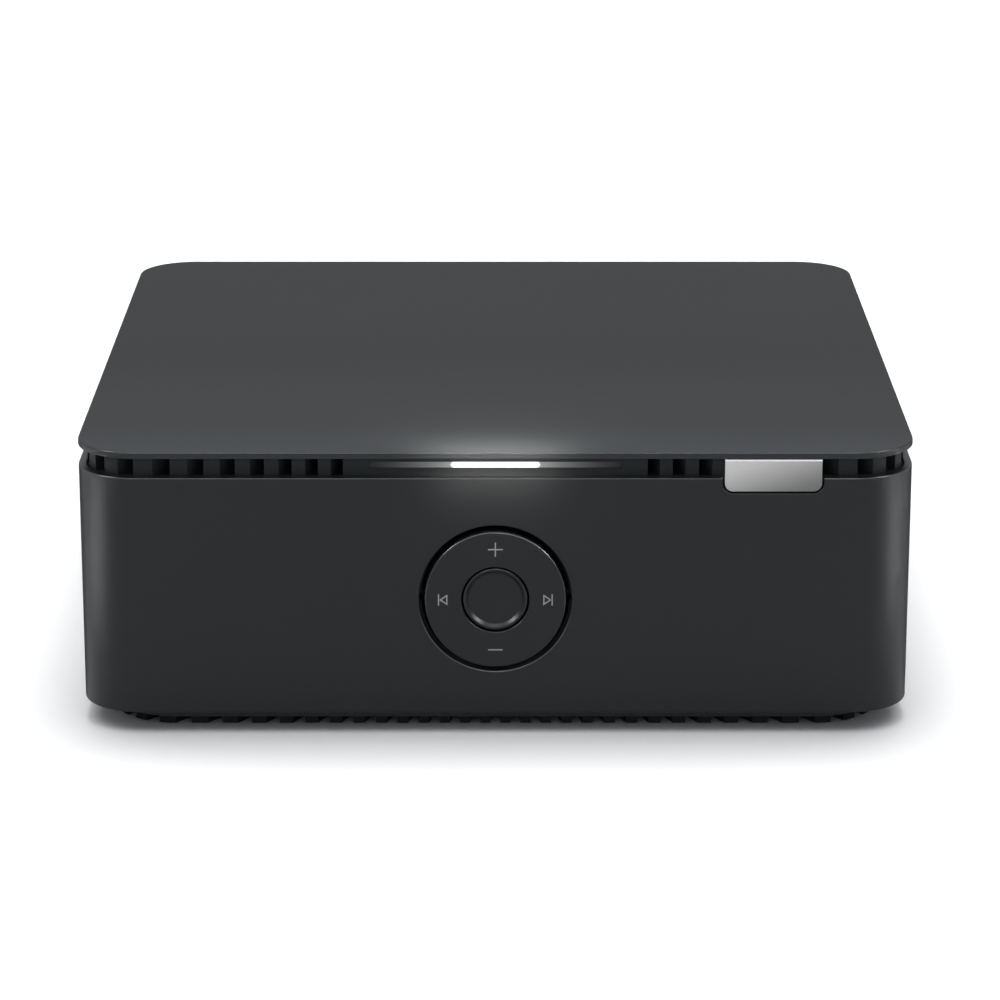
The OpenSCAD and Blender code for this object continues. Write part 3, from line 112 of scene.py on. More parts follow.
# %% The class that holds a node's output
class Wire:
    """One output of a shader node. Sums with numbers or with other wires add Math nodes."""

    def __init__(self, tree, socket):
        self.tree, self.socket = tree, socket

    def node(self, kind, settings, sockets, output=0):
        """A new node: its settings are set first, then its sockets get values or links."""
        made = self.tree.nodes.new(kind)
        for name, value in settings.items():
            setattr(made, name, value)
        for name, value in sockets.items():
            if isinstance(value, Wire):
                self.tree.links.new(value.socket, made.inputs[name])
            else:
                made.inputs[name].default_value = value
        return Wire(self.tree, made.outputs[output])

    def math(self, operation, *values):
        """A Math node that works on these numbers or wires."""
        return self.node("ShaderNodeMath", {"operation": operation}, dict(enumerate(values)))

    def __add__(self, other):
        return self.math("ADD", self, other)

    def __sub__(self, other):
        return self.math("SUBTRACT", self, other)

    def __rsub__(self, other):
        return self.math("SUBTRACT", other, self)

    def __mul__(self, other):
        return self.math("MULTIPLY", self, other)

    def __truediv__(self, other):
        return self.math("DIVIDE", self, other)

    def __gt__(self, other):
        return self.math("GREATER_THAN", self, other)

    def __lt__(self, other):
        return self.math("LESS_THAN", self, other)

    def __abs__(self):
        return self.math("ABSOLUTE", self)

    __radd__ = __add__
    __rmul__ = __mul__


print("operators of a wire:", [n for n in vars(Wire) if n.startswith("__") and n != "__init__"])

# %% [markdown]
# ## Words for the finishes
# Paint, moulded plastic and metal differ in a few things only: how coarse their grain is, how it
# shifts the colour and the gloss, and whether it runs one way. A few helpers name those, so that
# each finish below reads as a recipe. Every pattern is placed by Object coordinates, in metres, so
# its scale is a true size on the object.

# %% Helpers for grain, mixing and masks
def grain(place, size, detail=2.0, stretch=(1, 1, 1)):
    """Soft noise with spots about size metres wide, drawn out along axes with a small stretch."""
    where = place
    if stretch != (1, 1, 1):
        where = place.node("ShaderNodeMapping", {}, {"Vector": place, "Scale": stretch})
    sockets = {"Vector": where, "Scale": 1 / size, "Detail": detail}
    return place.node("ShaderNodeTexNoise", {}, sockets)


def blend_colours(factor, first, second):
    """From the first colour at 0 to the second at 1."""
    sockets = {0: factor, 6: first, 7: second}
    return factor.node("ShaderNodeMix", {"data_type": "RGBA"}, sockets, output=2)


def shade(level, tint=(1, 1, 1)):
    """A colour of this level, as a socket takes it."""
    return (*(level * t for t in tint), 1.0)


def axes(place):
    """The three coordinates of a place as wires of their own."""
    split = place.node("ShaderNodeSeparateXYZ", {}, {"Vector": place})
    outputs = split.socket.node.outputs
    return [Wire(place.tree, outputs[i]) for i in range(3)]


def ramp(value, low, high):
    """0 below low and 1 above high, with a smooth step between them; low may be the larger."""
    sockets = {"Value": value, "From Min": low, "From Max": high}
    return value.node("ShaderNodeMapRange", {"interpolation_type": "SMOOTHSTEP"}, sockets)


def band(value, low, high, edge=0.03 * MM):
    """1 between two values and 0 outside them."""
    return ramp(value, low - edge, low + edge) * ramp(value, high + edge, high - edge)


def relief(height, depth, strength):
    """Normals of a surface whose height goes from 0 to depth metres."""
    sockets = {"Height": height, "Distance": depth, "Strength": strength}
    return height.node("ShaderNodeBump", {}, sockets)


HELPERS = (grain, blend_colours, shade, axes, ramp, band, relief)
print("helpers:", [helper.__name__ for helper in HELPERS])

# %% [markdown]
# ## From a recipe to a finish
# A recipe is a function of the place on the object. It gives the shader inputs that vary, while
# those that are the same all over are plain numbers on the shader. One function makes the material,
# and a second one also puts it on the solids that share it.

# %% Finishes and who wears them
def finish(name, recipe, **constants):
    """A material. Constants go straight on the shader; recipe(place) gives what varies."""
    material = bpy.data.materials.new(name)
    material.use_nodes = True
    tree = material.node_tree
    shader = tree.nodes["Principled BSDF"]
    for socket, value in constants.items():
        shader.inputs[socket.replace("_", " ")].default_value = value
    place = Wire(tree, tree.nodes.new("ShaderNodeTexCoord").outputs["Object"])
    for socket, wire in recipe(place).items():
        tree.links.new(wire.socket, shader.inputs[socket])
    return material


def dress(solids, name, recipe, **constants):
    """Makes a finish and puts it on the named solids."""
    material = finish(name, recipe, **constants)
    for solid in solids:
        slots = nodes[solid].data.materials
        slots.clear()
        slots.append(material)
    print(name, "on", ", ".join(solids))
    return material


print("solids to dress:", len(nodes))

# %% [markdown]
# ## Satin paint on the case
# Cover, body and dial share one dark grey satin paint. It looks black from the front and lighter on
# the cover, because the cover is seen at a low angle, where any paint reflects more of the white
# room, and because the cover's paint also carries painted light, set below. A fine grain in
# roughness and height keeps that reflection soft. Edges that hands or polishing reach get a thin
# clear coat, which shows as a fine light line.

# %% Satin paint
COOL = (0.84, 1.0, 1.06)
CASE_GREY, DIAL_GREY = 0.0095, 0.0085
GLOSS = 0.6
EDGED = {"Specular_IOR_Level": 0.2, "Coat_Roughness": 0.2}


def satin_paint(level):
    """Paint of this grey level, with fine flecks and wide, faint clouds."""
    def recipe(place):
        fleck = grain(place, 0.3 * MM)
        cloud = grain(place, 60 * MM, detail=3)
        mix = 0.6 * fleck + 0.4 * cloud
        dark, pale = shade(level * 0.86, COOL), shade(level * 1.14, COOL)
        return {
            "Base Color": blend_colours(mix, dark, pale),
            "Roughness": 0.32 + 0.08 * fleck + 0.04 * cloud,
            "Normal": relief(fleck, 0.02 * MM, 0.25),
        }

    return recipe


print("grey levels of case and dial:", CASE_GREY, DIAL_GREY)

# %% [markdown]
# ## The cover
# The cover's colour carries painted light: its paint is darker at the back and paler toward the
# front, standing in for more of the room's light falling there. A lamp for that would brighten the
# body too, so here the paint's level rises in two soft steps from back to front. Its rolled edge is
# found by its height, just below the top.

# %% Cover paint
SHADED_BACK_GREY, LIT_FRONT_GREY = 0.003, 0.021
MIDDLE_Y, STEP_Y, FRONT_Y = 0 * MM, -70 * MM, -106 * MM
cover_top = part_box("top_cover")[1].z


def cover_finish(place):
    """The case's paint with painted light: darker at the back, paler toward the front, and glossier
    on its rolled edge.
    """
    made = satin_paint(CASE_GREY)(place)
    _, y, z = axes(place)
    # painted shade toward the back and painted light toward the front, in two soft steps
    back = blend_colours(ramp(y, MIDDLE_Y, STEP_Y), shade(SHADED_BACK_GREY, COOL), made["Base Color"])
    made["Base Color"] = blend_colours(ramp(y, STEP_Y, FRONT_Y), back, shade(LIT_FRONT_GREY, COOL))
    rolled_edge = band(z, cover_top - 0.3 * MM, cover_top - 0.08 * MM)
    made["Coat Weight"] = 0.4 * GLOSS * rolled_edge
    return made


dress(["top_cover"], "cover_paint", cover_finish, **EDGED)

# %% [markdown]
# ## Body and dial
# The dial sits in a round opening. Painted shade darkens the opening's wall and the inner part of
# its rounded edge nearly to black, so a dark ring shows round the dial. A painted highlight makes
# the lower lip of that opening pale, and the lip and the body's upper rim also get a clear coat
# that shines. Fingers polish the upper edges of pad and button. Masks by the distance from the
# dial's axis, and one by height for the rim, find these places.

# %% Body and dial paint
ring_low, ring_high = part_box("control_ring")
dial_z = (ring_low.z + ring_high.z) / 2
body_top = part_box("body_shell")[1].z
OPENING_R = 18.22 * MM
LIP = 0.3 * MM
PAD_EDGE = (16.55 * MM, 17 * MM)
BUTTON_EDGE = (7.4 * MM, 7.8 * MM)


def round_dial(place):
    """Height above the dial's axis and distance from it."""
    x, _, z = axes(place)
    up = z - dial_z
    return up, x.math("SQRT", x * x + up * up)


def body_finish(place):
    """The case's paint with painted shade on the wall and inner rounded edge of the dial's opening,
    a painted highlight and a clear coat on the lower lip there, and a glossy upper rim."""
    made = satin_paint(CASE_GREY)(place)
    up, from_axis = round_dial(place)
    _, y, z = axes(place)
    front = y < 0
    # painted shade: the wall and inner edge of the opening turn nearly black
    painted_gap_shade = ramp(from_axis, OPENING_R + 0.03 * MM, OPENING_R - 0.03 * MM) * front
    # painted highlight: a pale line along the lower half of the opening's lip
    lip_highlight = band(from_axis, OPENING_R, OPENING_R + LIP) * front * ramp(up, -3 * MM, -9 * MM)
    rim = ramp(z, body_top - 0.4 * MM, body_top - 0.25 * MM)
    with_gap_shade = blend_colours(painted_gap_shade, made["Base Color"], shade(0.002))
    made["Base Color"] = blend_colours(lip_highlight, with_gap_shade, shade(0.045))
    made["Roughness"] = made["Roughness"] + 0.5 * painted_gap_shade
    made["Coat Weight"] = GLOSS * (lip_highlight + rim)
    return made


def dial_finish(place):
    """Paint polished by fingers on the upper edges of pad and button."""
    made = satin_paint(DIAL_GREY)(place)
    up, from_axis = round_dial(place)
    edges = band(from_axis, *PAD_EDGE) + band(from_axis, *BUTTON_EDGE)
    made["Coat Weight"] = GLOSS * edges * ramp(up, -7 * MM, 1 * MM)
    return made


dress(["body_shell"], "body_paint", body_finish, **EDGED)
dress(["control_ring", "play_button", "setup_button"], "dial_paint", dial_finish, **EDGED)
print("dial axis height in mm:", round(dial_z / MM, 2))

# %% [markdown]
# ## Black mouldings
# The toothed frame in the air gap, the foot and the inner carriers are moulded in black plastic
# with a spark-eroded texture: small, even pits. Two sizes of noise make it, and the pits are
# rougher than the land. The foot has a paler strip above its slots.

# %% Moulded plastic
DULL = {"Specular_IOR_Level": 0.1}
SLOT_TOP = 1.9 * MM


def moulded(level, tint=(1, 1, 1), rough=0.5, pit=0.45 * MM):
    """Plastic of this level and tint, with pits of this size."""
    def recipe(place):
        pits = grain(place, pit, detail=3)
        cloud = grain(place, 25 * MM)
        dark, pale = shade(level * 0.8, tint), shade(level * 1.2, tint)
        return {
            "Base Color": blend_colours(0.5 * pits + 0.5 * cloud, dark, pale),
            "Roughness": rough + 0.14 * pits,
            "Normal": relief(pits, 0.03 * MM, 0.5),
        }

    return recipe


def foot_plastic(place):
    """The moulding's black between the slots, and a paler strip above them."""
    made = moulded(0.012)(place)
    strip = ramp(axes(place)[2], SLOT_TOP - 0.05 * MM, SLOT_TOP + 0.05 * MM)
    made["Base Color"] = blend_colours(strip, made["Base Color"], shade(0.05, COOL))
    return made


CARRIERS = ["control_frame", "gimbal_ring", "shell_posts"]
dress(["vent_frame"], "frame_black", moulded(0.0185, COOL), **DULL)
dress(["foot_ring"], "foot_black", foot_plastic, **DULL)
dress(CARRIERS, "carrier_black", moulded(0.008, rough=0.6, pit=0.3 * MM), **DULL)

# %% [markdown]
# ## Metals
# The sockets are nickel plated sheet, the terminals are gold plated and the screws are zinc plated
# steel. All are fully metallic, so the colour is the colour of their reflections and the grain sits
# in the roughness. Brushed and extruded metal is noise that is drawn out along one axis.

# %% Plain and brushed metal
METAL = {"Metallic": 1.0}
BRUSHED = (0.03, 1, 1)
EXTRUDED = (1, 0.02, 1)


def metal(colour, rough, scratch=0.4 * MM, stretch=(1, 1, 1), depth=0.004 * MM):
    """Metal of this colour, with scratches of this size and faint smudges."""
    def recipe(place):
        lines = grain(place, scratch, detail=4, stretch=stretch)
        smudge = grain(place, 9 * MM)
        dull = shade(0.86, colour[:3])
        return {
            "Base Color": blend_colours(0.7 * lines + 0.3 * smudge, dull, colour),
            "Roughness": rough + 0.16 * lines + 0.06 * smudge,
            "Normal": relief(lines, depth, 0.5),
        }

    return recipe


NICKELLED = ["mains_pins", "line_jack_sleeves", "terminal_nuts", "button_clip"]
GILDED = ["terminal_posts", *(f"terminal_washer_{i}" for i in range(1, 5))]
SCREWS = ["case_screws", "cover_screws", "chassis_screws", "control_screws"]
CANS = ["processor_shield", "network_module"]
tin = metal(shade(0.55, (0.98, 1, 1)), 0.24, 3 * MM, depth=0.01 * MM)
dress(NICKELLED, "nickel", metal(shade(0.60, (1, 0.97, 0.92)), 0.18), **METAL)
gold = dress(GILDED, "gold", metal((0.80, 0.58, 0.24, 1.0), 0.16), **METAL)
dress(SCREWS, "zinc", metal(shade(0.42, (0.97, 0.99, 1)), 0.28, 0.2 * MM), **METAL)
dress(["amp_heatsink"], "extruded", metal(shade(0.30), 0.34, 0.2 * MM, EXTRUDED), **METAL)
dress(CANS, "tinned", tin, **METAL)

# %% [markdown]
# ## The badge
# The badge is a bare satin tag, brushed from left to right. Its colour carries a painted reflection
# of a room that gets darker to one side: it is graded from its upper left to its lower right
# corner. A painted highlight stands for the white above mirrored in its upper edge: a mask turns
# that edge from metal into plain white.

# %% Graded tag
badge_low, badge_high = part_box("badge_plate")


def graded_tag(place):
    """Brushed metal with a painted reflection that darkens evenly across and down, and a painted
    highlight as a white upper edge.
    """
    made = metal(shade(0.46, (1, 0.99, 0.98)), 0.26, 0.12 * MM, BRUSHED)(place)
    x, _, z = axes(place)
    across = (x - badge_low.x) / (badge_high.x - badge_low.x)
    down = (badge_high.z - z) / (badge_high.z - badge_low.z)
    # painted reflection: darker toward the lower right corner
    dark = ramp(0.5 * across + 0.5 * down, 0.0, 1.0)
    with_painted_reflection = blend_colours(dark, made["Base Color"], shade(0.12))
    # painted highlight: the upper edge turns from metal into plain white
    edge = ramp(z, badge_high.z - 0.42 * MM, badge_high.z - 0.28 * MM)
    made["Base Color"] = blend_colours(edge, with_painted_reflection, shade(0.9))
    made["Metallic"] = 1 - edge
    return made


dress(["badge_plate"], "badge_metal", graded_tag, **METAL)

# %% [markdown]
# ## Socket shells with dark throats
# A network, picture or data socket is a folded nickel shell round a black moulded throat. The CAD
# solid is one piece, so the finish tells the two apart: inside the mouth, behind the shell's edge,
# a mask turns the metal into plastic.

# %% Nickel shells with black throats
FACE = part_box("lan_socket")[1].y


def inside(place, low, high, edge=0.05 * MM):
    """1 inside the box between two corners and 0 outside it; None in a corner means no limit."""
    mask = None
    for axis, a, b in zip(axes(place), low, high):
        for bound, sign in ((a, 1), (b, -1)):
            if bound is not None:
                side = ramp(axis, bound - sign * edge, bound + sign * edge)
                mask = side if mask is None else mask * side
    return mask


def throat_finish(name, node, half_width, half_height, rim):
    """Dresses one socket, and gives back the x and z of its middle."""
    low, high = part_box(node)
    x, z = (low.x + high.x) / 2, (low.z + high.z) / 2
    near = (x - half_width, None, z - half_height)
    far = (x + half_width, FACE - rim, z + half_height)

    def recipe(place):
        made = metal(shade(0.58, (1, 0.98, 0.94)), 0.2)(place)
        dark = inside(place, near, far)
        pits = grain(place, 0.3 * MM)
        made["Base Color"] = blend_colours(dark, made["Base Color"], shade(0.012))
        made["Metallic"] = 1 - dark
        made["Roughness"] = made["Roughness"] + dark * (0.25 + 0.1 * pits)
        return made

    dress([node], name, recipe)
    return x, z


lan_x, lan_z = throat_finish("lan_shell", "lan_socket", 7.2 * MM, 6.2 * MM, 0.3 * MM)
hdmi_x, hdmi_z = throat_finish("hdmi_shell", "hdmi_socket", 6.6 * MM, 1.9 * MM, 0.5 * MM)
usb_x, usb_z = throat_finish("usb_shell", "usb_socket", 5.9 * MM, 2.3 * MM, 0.5 * MM)

# %% [markdown]
# ## Plastics and coloured jacks
# The bay plate, the inlet and the optical socket are black mouldings with different gloss. The
# phono jacks tell left from right by white and red cores, which stand out of one black block: the
# colour is chosen by where a core is. The terminal caps are the glossiest, because fingers turn
# them.

# %% Rear plastics
jack_low, jack_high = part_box("line_jack_sleeves")
jack_x = (jack_low.x + jack_high.x) / 2
HANDLED = {"Specular_IOR_Level": 0.3}


def jack_cores(place):
    """A black block whose cores are red on one side and white on the other."""
    made = moulded(0.014, rough=0.36)(place)
    x, y, _ = axes(place)
    pits = grain(place, 0.3 * MM)
    white = blend_colours(pits, shade(0.62), shade(0.72, (1, 0.99, 0.96)))
    core = blend_colours(x > jack_x, white, (0.42, 0.02, 0.018, 1))
    made["Base Color"] = blend_colours(y > FACE + 0.2 * MM, made["Base Color"], core)
    return made


red_cap = moulded(0.34, (1, 0.03, 0.025), 0.22, 0.3 * MM)
black_cap = moulded(0.01, rough=0.22, pit=0.3 * MM)
inlet = moulded(0.011, rough=0.3, pit=0.25 * MM)
optical = moulded(0.016, rough=0.36, pit=0.3 * MM)
dress(["connector_bay"], "bay_black", moulded(0.013, rough=0.44, pit=0.6 * MM))
dress(["mains_inlet", "terminal_bushes"], "inlet_black", inlet)
dress(["optical_socket", "optical_shutter"], "optical_black", optical)
dress(["line_jack_block"], "jack_block", jack_cores)
dress(["terminal_cap_1", "terminal_cap_3"], "cap_red", red_cap, **HANDLED)
dress(["terminal_cap_2", "terminal_cap_4"], "cap_black", black_cap, **HANDLED)

# %% [markdown]
# ## Rubber, silicone and the base
# The feet are dull black rubber, the mat under the pad is milky silicone, and the base plate is
# powder coated steel. All three come out of the moulding recipe: dull rubber has a high roughness,
# and a powder coat has larger pits.

# %% Rubber, silicone and the base
rubber = moulded(0.014, rough=0.7, pit=0.8 * MM)
dress(["rubber_feet"], "rubber", rubber, Specular_IOR_Level=0.25)
dress(["keypad_mat"], "silicone", moulded(0.16, (0.95, 1, 1.05), 0.5, 1.5 * MM))
dress(["base_plate"], "base_coat", moulded(0.016, rough=0.46, pit=1.1 * MM))

# %% [markdown]
# ## Boards and what stands on them
# A circuit board is copper under a tinted lacquer. Cells with straight sides make good tracks: a
# thin band along the cell borders is where lacquer lies over copper, and a small disc at each
# cell's middle is a bare tinned pad.

# %% Lacquered boards
def lacquered(lacquer, over_copper, cell=3.2 * MM):
    """A board with tracks along the borders of cells of this size, and a pad in each cell."""
    def recipe(place):
        flatten = {0: place, 1: (1, 1, 0)}
        flat = place.node("ShaderNodeVectorMath", {"operation": "MULTIPLY"}, flatten)
        cells = {"Vector": flat, "Scale": 1 / cell, "Randomness": 0.75}
        border = place.node("ShaderNodeTexVoronoi", {"feature": "DISTANCE_TO_EDGE"}, cells)
        middle = place.node("ShaderNodeTexVoronoi", {"distance": "CHEBYCHEV"}, cells)
        track = ramp(border, 0.10, 0.06)
        pad = ramp(middle, 0.16, 0.12)
        weave = grain(place, 0.6 * MM)
        tone = blend_colours(track, lacquer, over_copper)
        return {
            "Base Color": blend_colours(pad, tone, shade(0.55, (1, 0.98, 0.93))),
            "Metallic": pad,
            "Roughness": 0.28 + 0.1 * weave,
            "Normal": relief(0.7 * track + 0.3 * weave, 0.03 * MM, 0.6),
        }

    return recipe


green = lacquered((0.008, 0.065, 0.024, 1), (0.018, 0.13, 0.045, 1))
brown = lacquered((0.13, 0.062, 0.016, 1), (0.2, 0.11, 0.035, 1), 5 * MM)
dress(["main_board", "control_board", "led_board", "aerials"], "green_board", green)
dress(["power_board"], "brown_board", brown)

# %% [markdown]
# ## Parts on the boards
# Inside, every part still shows its own make: shrink sleeves that leave a can's lid bare, tape
# wound round a coil in overlapping turns, ribbon cables with their wires showing as stripes, and
# sintered ferrite with fine pores.

# %% Sleeves, tape, ribbons and ferrite
can_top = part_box("filter_capacitors")[1].z


def stripes(value, pitch, share, edge=0.12):
    """1 on the first share of every pitch along a coordinate, 0 on the rest, with soft edges."""
    turns = value / pitch
    phase = turns.math("FRACT", turns)
    return ramp(phase, share + edge / 2, share - edge / 2)


def sleeved_can(place):
    """A dark blue sleeve that leaves the metal lid bare."""
    made = moulded(0.022, (0.8, 0.95, 1.3), 0.26, 0.5 * MM)(place)
    lid = ramp(axes(place)[2], can_top - 0.25 * MM, can_top - 0.05 * MM)
    lines = grain(place, 0.3 * MM)
    made["Base Color"] = blend_colours(lid, made["Base Color"], shade(0.6))
    made["Metallic"] = lid
    made["Roughness"] = made["Roughness"] + lid * (0.1 * lines)
    return made


def wound_tape(place):
    """Amber tape in slanting turns of 3 mm."""
    x, _, z = axes(place)
    wrap = stripes(x + 0.15 * z, 3 * MM, 0.88)
    dust = grain(place, 1.2 * MM)
    return {
        "Base Color": blend_colours(wrap, (0.30, 0.17, 0.03, 1), (0.52, 0.32, 0.06, 1)),
        "Roughness": 0.3 + 0.16 * dust,
        "Normal": relief(0.8 * wrap + 0.2 * dust, 0.06 * MM, 0.6),
    }


def ribbon_stripes(place):
    """Grey wires side by side, 0.5 mm apart."""
    wires = stripes(axes(place)[0], 0.5 * MM, 0.6, 0.3)
    dust = grain(place, 2 * MM)
    return {
        "Base Color": blend_colours(wires, shade(0.62), shade(0.36, (0.97, 1, 1.04))),
        "Roughness": 0.34 + 0.1 * dust,
        "Normal": relief(wires, 0.04 * MM, 0.5),
    }


def sintered(place):
    """Dark ferrite with fine pores."""
    pores = grain(place, 0.35 * MM, detail=5)
    cast = grain(place, 7 * MM)
    mix = 0.5 * pores + 0.5 * cast
    return {
        "Base Color": blend_colours(mix, shade(0.022), shade(0.05, (1, 0.98, 0.95))),
        "Roughness": 0.5 + 0.2 * pores,
        "Normal": relief(pores, 0.05 * MM, 0.6),
    }


dress(["filter_capacitors"], "sleeved_can", sleeved_can)
dress(["transformer_coil"], "wound_tape", wound_tape)
dress(["ribbon_cables"], "ribbon_stripes", ribbon_stripes)
dress(["transformer_core", "filter_coils"], "sintered", sintered)

# %% [markdown]
# ## Chips, film and wires
# What is left inside are plain mouldings: chips in black epoxy, a mains capacitor in a yellow box,
# and wires in red or black sleeves. They differ only in colour, gloss and the size of their pits.

# %% Chips, film and wires
dress(["amp_chips"], "epoxy", moulded(0.018, rough=0.4, pit=0.2 * MM))
dress(["mains_capacitor"], "film_yellow", moulded(0.5, (1, 0.62, 0.05), 0.32, 0.5 * MM))
red_sleeve = moulded(0.32, (1, 0.05, 0.04), 0.34, 0.7 * MM)
dress(["power_harness", "speaker_leads"], "wire_red", red_sleeve)
dress(["aerial_leads"], "wire_black", moulded(0.015, rough=0.38, pit=0.6 * MM))

# %% [markdown]
# ## The light bar
# Behind the frame's window lies a clear guide with a row of lamps. Only the middle is lit: it is
# pure white for about twenty millimetres and then fades out to both ends. Along the bar, the
# brightness is a lit core with soft ends plus a tail that falls off exponentially with the distance
# from the core.

# %% Lit plastic
CORE, CORE_LEVEL = 10.2 * MM, 1.6
TAIL, TAIL_LEVEL, TAIL_CUT = 8.3 * MM, 0.34, 0.018
BAR_Z = 66.65 * MM


def lit_bar(place):
    """Emission is the larger of a core with slanting soft ends and an exponential tail."""
    x, _, z = axes(place)
    along = abs(x)
    core = ramp(along + 0.6 * abs(z - BAR_Z), CORE + 1.1 * MM, CORE - 0.3 * MM)
    tail = TAIL_LEVEL * along.math("EXPONENT", (CORE - along) / TAIL) - TAIL_CUT
    level = along.math("MAXIMUM", CORE_LEVEL * core, tail)
    frost = grain(place, 0.5 * MM)
    white = blend_colours(frost, shade(0.97), shade(1.0))
    grey = place.node("ShaderNodeCombineXYZ", {}, {0: level, 1: level, 2: level})
    glow = place.node("ShaderNodeVectorMath", {"operation": "MULTIPLY"}, {0: white, 1: grey})
    return {
        "Base Color": blend_colours(frost, shade(0.006), shade(0.01)),
        "Roughness": 0.35 + 0.15 * frost,
        "Emission Color": glow,
    }


LIT = {"Emission_Strength": 1.0, "Specular_IOR_Level": 0.05}
dress(["light_guide", "led_lamps"], "lit_bar", lit_bar, **LIT)
print("lit core in mm:", 2 * CORE / MM)

# %% [markdown]
# ## Surfaces from arrays
# Most pieces that are new here are one idea: a small closed profile that is carried along a path. A
# printed line is a low trapezoid along a polyline, and a spring contact is a ring of points along a
# bent wire. The whole grid of points is one array sum, and the faces follow from the grid's row and
# column numbers.

# %% A profile carried along a path
def grid_faces(rows, columns, closed=False):
    """Quads between every row of points and the next, where point j of row i has the number i times
    columns plus j. Closed rows join the last to the first; others get a cap at each end."""
    starts = np.arange(rows if closed else rows - 1)
    i, j = np.meshgrid(starts, np.arange(columns), indexing="ij")
    here, there = i * columns, (i + 1) % rows * columns
    j_next = (j + 1) % columns
    corners = (here + j, here + j_next, there + j_next, there + j)
    faces = np.stack(corners, -1).reshape(-1, 4).tolist()
    if not closed:
        faces += [list(range(columns)), list(range((rows - 1) * columns, rows * columns))]
    return faces


def carry(path, sides, ups, profile, closed=False):
    """Point (i, j) is path point i, plus side i times the profile's first number j, plus up i times
    its second one."""
    points = path[:, None] + sides[:, None] * profile[:, :1] + ups[:, None] * profile[:, 1:]
    return points.reshape(-1, 3), grid_faces(*points.shape[:2], closed)


def build(name, shells, material, body, smooth=False):
    """One piece from closed shells of points and faces, with all faces turned outwards."""
    points, faces = [], []
    for shell_points, shell_faces in shells:
        start = sum(map(len, points))
        points.append(shell_points)
        faces += [[start + k for k in face] for face in shell_faces]
    mesh = bpy.data.meshes.new(name)
    mesh.from_pydata(np.concatenate(points).tolist(), [], faces)
    grid = bmesh.new()
    grid.from_mesh(mesh)
    bmesh.ops.recalc_face_normals(grid, faces=grid.faces)
    grid.to_mesh(mesh)
    grid.free()
    mesh.polygons.foreach_set("use_smooth", np.full(len(mesh.polygons), smooth))
    mesh.materials.append(material)
    piece = put(name, mesh)
    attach(piece, body)
    print(name, "has", len(mesh.polygons), "faces")


print("faces of a straight bar with four sides:", len(grid_faces(2, 4)))

# %% [markdown]
# ## Finer shapes round the dial
# Two solids are drawn a few tenths of a millimetre finer than the CAD model has them. The dial's
# opening gets a tighter edge, which leaves a wider dark gap, and the button's dish comes closer to
# its rim. Both only move points of a copy, so no face is added or lost.

# %% Points moved away from the dial's axis
MOUTH_R, WALL_DEPTH = 18.3 * MM, 10 * MM
EDGE_DEPTH, FLATTER = 0.51 * MM, 0.4
MOUTH_WAS, MOUTH_NOW = np.array([17.75, 18.25]) * MM, np.array([18.2, 18.5]) * MM
CAP_DEPTH = 0.8 * MM
DISH_WAS = np.array([0, 6.0, 6.75, 7.4, 7.7]) * MM
DISH_NOW = np.array([0, 6.35, 7.05, 7.45, 7.7]) * MM


def spread_from_dial(points, chosen, was, now):
    """Moves chosen points straight away from the dial's axis: a distance in the list was becomes
    the one at the same place in the list now, and those between are read off the joining line."""
    up = points[:, 2] - dial_z
    far = np.hypot(points[:, 0], up)
    share = np.where(chosen, np.interp(far, was, now) / np.maximum(far, 0.001 * MM), 1)
    return np.stack([points[:, 0] * share, points[:, 1], dial_z + up * share], 1)


def tighter_mouth(points):
    """The opening's rounded edge, 0.5 mm wide and deep, is drawn to 0.3 mm and outwards."""
    deep = points[:, 1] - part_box("body_shell")[0].y
    far = np.hypot(points[:, 0], points[:, 2] - dial_z)
    mouth = (far < MOUTH_R) & (deep < WALL_DEPTH)
    moved = spread_from_dial(points, mouth, MOUTH_WAS, MOUTH_NOW)
    moved[:, 1] -= np.where(mouth & (deep < EDGE_DEPTH), FLATTER * deep, 0)
    return moved


def wider_dish(points):
    """The dish's slope starts and ends closer to the button's rim."""
    cap = points[:, 1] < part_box("play_button")[0].y + CAP_DEPTH
    return spread_from_dial(points, cap, DISH_WAS, DISH_NOW)


print("opening's edge in mm:", MOUTH_WAS / MM, "becomes", MOUTH_NOW / MM)

# %% [markdown]
# ## Edges that catch the light
# No real edge is perfectly sharp: paint rounds it, and the rounding shows as a thin bright line.
# The CAD model leaves many edges sharp, so the cover, the body, the badge and the button are
# copied, their loose triangles are merged into whole flat faces, and a bevel rolls the copy's edges
# over. Each copy takes its solid's place.

# %% Rolled edges
SAME_POINT = 0.002 * MM
FLAT, SHARP = math.radians(0.2), math.radians(28)


